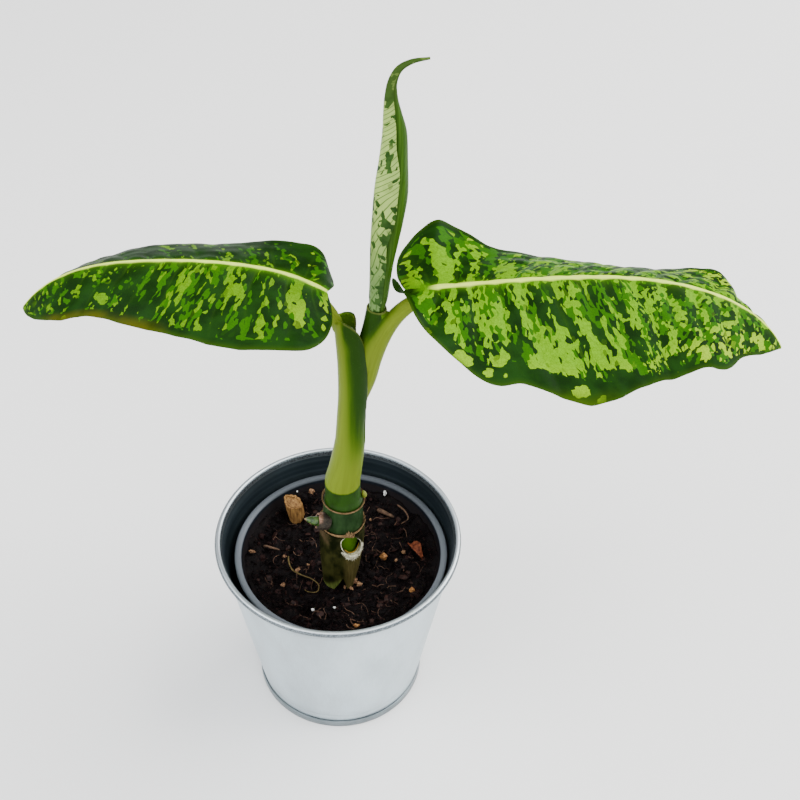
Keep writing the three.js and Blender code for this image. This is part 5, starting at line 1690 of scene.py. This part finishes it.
def make_young_leaf(plant):
    """The new leaf, still rolled: one edge laps over the other along a seam at the front right."""
    steps, sides, free_from, sheet = 230, 110, 292, 0.75
    frames = frames_along(YOUNG_LINE, steps, (0.5, -0.87, 0))
    share = np.linspace(0, 1, steps + 1)[:, None]
    start, end = math.radians(-38), math.radians(351)
    across = np.linspace(0, 1, sides)[None]
    turn = start + (end - start) * across + 0 * share
    height = frames.place[:, 2:3]
    free = rising(height, free_from, 20)
    seam_wave = 0.12 * np.sin(height / 9) + 0.07 * np.sin(height / 4.1)
    turn = turn + seam_wave * free * across**3
    tucked = falling(turn, math.radians(12), math.radians(30))
    radius = frames.sizes[:, :1] + 0 * turn
    radius = radius * (1 - 0.26 * tucked) + 0.12 * np.sin(3 * turn + height / 7) * free
    leaf = rolled("rolled_leaf", frames, turn, radius, np.minimum(sheet, 0.5 * radius))

    def inside_too(values):
        """The outer skin's values and, the other way round, the inner one's."""
        return np.concatenate([values, values[:, ::-1]], axis=1)

    width = inside_too(np.cumsum(np.full(turn.shape, (end - start) / sides) * frames.sizes[:, :1], axis=1))
    run = np.broadcast_to(frames.run[:, None], width.shape)
    lay_out(leaf, "skin", np.stack([width / 10, run / 10], -1).reshape(-1, 2))
    around = inside_too(np.degrees(turn))
    note(leaf, "strip", falling(around, 82, 4))
    note(leaf, "tip", rising(height, 392, 12) * 0.8 + 0 * around)
    by_seam = rising(around, 300, 30) * falling(height, 352, 8)
    bare = 0.6 * rising(height, 330, 15) * falling(height, 384, 15)
    note(leaf, "favour", 0.9 * by_seam - 0.45 * bare + 1.1 * rising(height, 388, 20))
    settle(leaf, [young_finish("young_green", plant)], ["young_leaf"], 50)


# ------------------------------------------------------------------------------------------ stage

CAMERA_AT = (32.9, -445.9, 642.7)


def make_sky(tree, strength):
    """A soft sky: bright overhead and in front, dimmer low down behind the plant."""
    sky = Nodes(tree)
    at = sky.add("ShaderNodeTexCoord", {}, "Generated")
    behind = sky.rise(sky.split(at, "Y"), -0.1, 0.6, 1.0, 0.1)
    overhead = sky.rise(sky.split(at, "Z"), 0.8, 0.97, 0.0, 1.3)
    background = tree.nodes["Background"].inputs
    sky.join(background["Strength"], sky.times(sky.math("MAXIMUM", behind, overhead), strength))
    sky.join(background["Color"], (0.96, 0.98, 1.0))


def make_stage(stage):
    floor = primitive("plane", size=8, location=(0, 0, 0))
    floor.name = "floor"
    f = Finish("floor_paint", 0.6, Specular_IOR_Level=0.2)
    cloud = f.noise(f.place((0.002, 0.002, 0.002)), 1, 3)
    floor.data.materials.append(f.coat(f.fade(cloud, 0.3, 0.7, shaded(stage.floor, 0.985), stage.floor)))

    world = bpy.data.worlds.new("studio")
    bpy.context.scene.world = world
    world.use_nodes = True
    make_sky(world.node_tree, stage.sky)

    lights = [
        ("key", (1.5, 0.6, 1.7), 2.4, stage.key, (1, 0.99, 0.97)),
        ("fill", (-1.0, -0.6, 1.1), 1.0, stage.fill, (0.97, 0.98, 1)),
    ]
    aim = Vector((0.02, 0, 0.2))
    for name, place, size, power, tint in lights:
        light = bpy.data.lights.new(name, "AREA")
        light.size, light.energy, light.color = size, power, tint
        lamp = bpy.data.objects.new(name, light)
        lamp.location = place
        lamp.rotation_euler = (aim - Vector(place)).to_track_quat("-Z", "Y").to_euler()
        bpy.context.scene.collection.objects.link(lamp)

    camera = bpy.data.cameras.new("camera")
    camera.lens, camera.sensor_width = stage.lens, 36
    viewer = bpy.data.objects.new("camera", camera)
    lean = Matrix.Rotation(math.radians(90 - stage.tilt), 4, "X")
    roll = Matrix.Rotation(math.radians(stage.roll), 4, "Z")
    viewer.matrix_world = Matrix.Translation(metres(*CAMERA_AT)) @ lean @ roll
    bpy.context.scene.collection.objects.link(viewer)
    bpy.context.scene.camera = viewer


# ------------------------------------------------------------------------------------------ operators


class PLANT_OT_stage(bpy.types.Operator):
    """Sets up the pale floor, the soft lights and the camera"""

    bl_idname = "plant.stage"
    bl_label = "Stage"

    def execute(self, context):
        make_stage(context.scene.plant_stage)
        return {"FINISHED"}


class PLANT_OT_zinc_pot(bpy.types.Operator):
    """Makes the tapered zinc pot with its rolled rim and its base"""

    bl_idname = "plant.zinc_pot"
    bl_label = "Zinc pot"

    def execute(self, context):
        make_zinc_pot(context.scene.plant_pot)
        return {"FINISHED"}


class PLANT_OT_grower_pot(bpy.types.Operator):
    """Makes the dark plastic grower's pot"""

    bl_idname = "plant.grower_pot"
    bl_label = "Grower's pot"

    def execute(self, context):
        make_grower_pot(context.scene.plant_pot)
        return {"FINISHED"}


class PLANT_OT_soil(bpy.types.Operator):
    """Makes the bed of peat with its crumbs and bark, and what lies on it"""

    bl_idname = "plant.soil"
    bl_label = "Soil"

    def execute(self, context):
        make_soil(context.scene.plant_soil)
        make_soil_bits(context.scene.plant_soil)
        return {"FINISHED"}


class PLANT_OT_stem(bpy.types.Operator):
    """Makes the true stem with its rings, buds and old leaf base, and the dry stub"""

    bl_idname = "plant.stem"
    bl_label = "Stem"

    def execute(self, context):
        plant = context.scene.plant_plant
        make_cane(plant)
        paper = husk_finish("dried_husk", (0.09, 0.05, 0.02), (0.24, 0.15, 0.07), (0.5, 0.5, 1.2))
        make_scar("lower_ring", "lower_leaf_scar", 140.0, 3, 0, 1.6, 1.0, paper)
        make_scar("upper_ring", "upper_leaf_scar", 156.2, 0, 4, 1.2, 0.35, paper)
        make_tuft(paper)
        make_old_sheath()
        make_buds()
        make_dry_stub()
        return {"FINISHED"}


class PLANT_OT_stalks(bpy.types.Operator):
    """Makes the two stalks with their sheaths"""

    bl_idname = "plant.stalks"
    bl_label = "Stalks"

    def execute(self, context):
        make_left_stalk(context.scene.plant_plant)
        make_right_stalk(context.scene.plant_plant)
        return {"FINISHED"}


class PLANT_OT_leaves(bpy.types.Operator):
    """Makes the two blades and the rolled young leaf"""

    bl_idname = "plant.leaves"
    bl_label = "Leaves"

    def execute(self, context):
        plant = context.scene.plant_plant
        make_right_blade(plant)
        make_left_blade(plant)
        make_young_leaf(plant)
        return {"FINISHED"}


OPERATORS = (
    PLANT_OT_stage, PLANT_OT_zinc_pot, PLANT_OT_grower_pot, PLANT_OT_soil, PLANT_OT_stem, PLANT_OT_stalks,
    PLANT_OT_leaves,
)


class PLANT_PT_sidebar(bpy.types.Panel):
    """Lists the pieces in the sidebar"""

    bl_idname = "PLANT_PT_sidebar"
    bl_label = "Potted dieffenbachia"
    bl_space_type = "VIEW_3D"
    bl_region_type = "UI"
    bl_category = "Plant"

    def draw(self, context):
        for operator in OPERATORS:
            self.layout.operator(operator.bl_idname)


GROUPS = {
    "plant_pot": PotSettings,
    "plant_soil": SoilSettings,
    "plant_plant": PlantSettings,
    "plant_stage": StageSettings,
}


def register():
    for kind in (*GROUPS.values(), *OPERATORS, PLANT_PT_sidebar):
        bpy.utils.register_class(kind)
    for name, kind in GROUPS.items():
        setattr(bpy.types.Scene, name, PointerProperty(type=kind))


def unregister():
    for name in GROUPS:
        delattr(bpy.types.Scene, name)
    for kind in reversed((*GROUPS.values(), *OPERATORS, PLANT_PT_sidebar)):
        bpy.utils.unregister_class(kind)


def main():
    register()
    for operator in OPERATORS:
        section, name = operator.bl_idname.split(".")
        getattr(getattr(bpy.ops, section), name)()


if __name__ == "__main__":
    main()
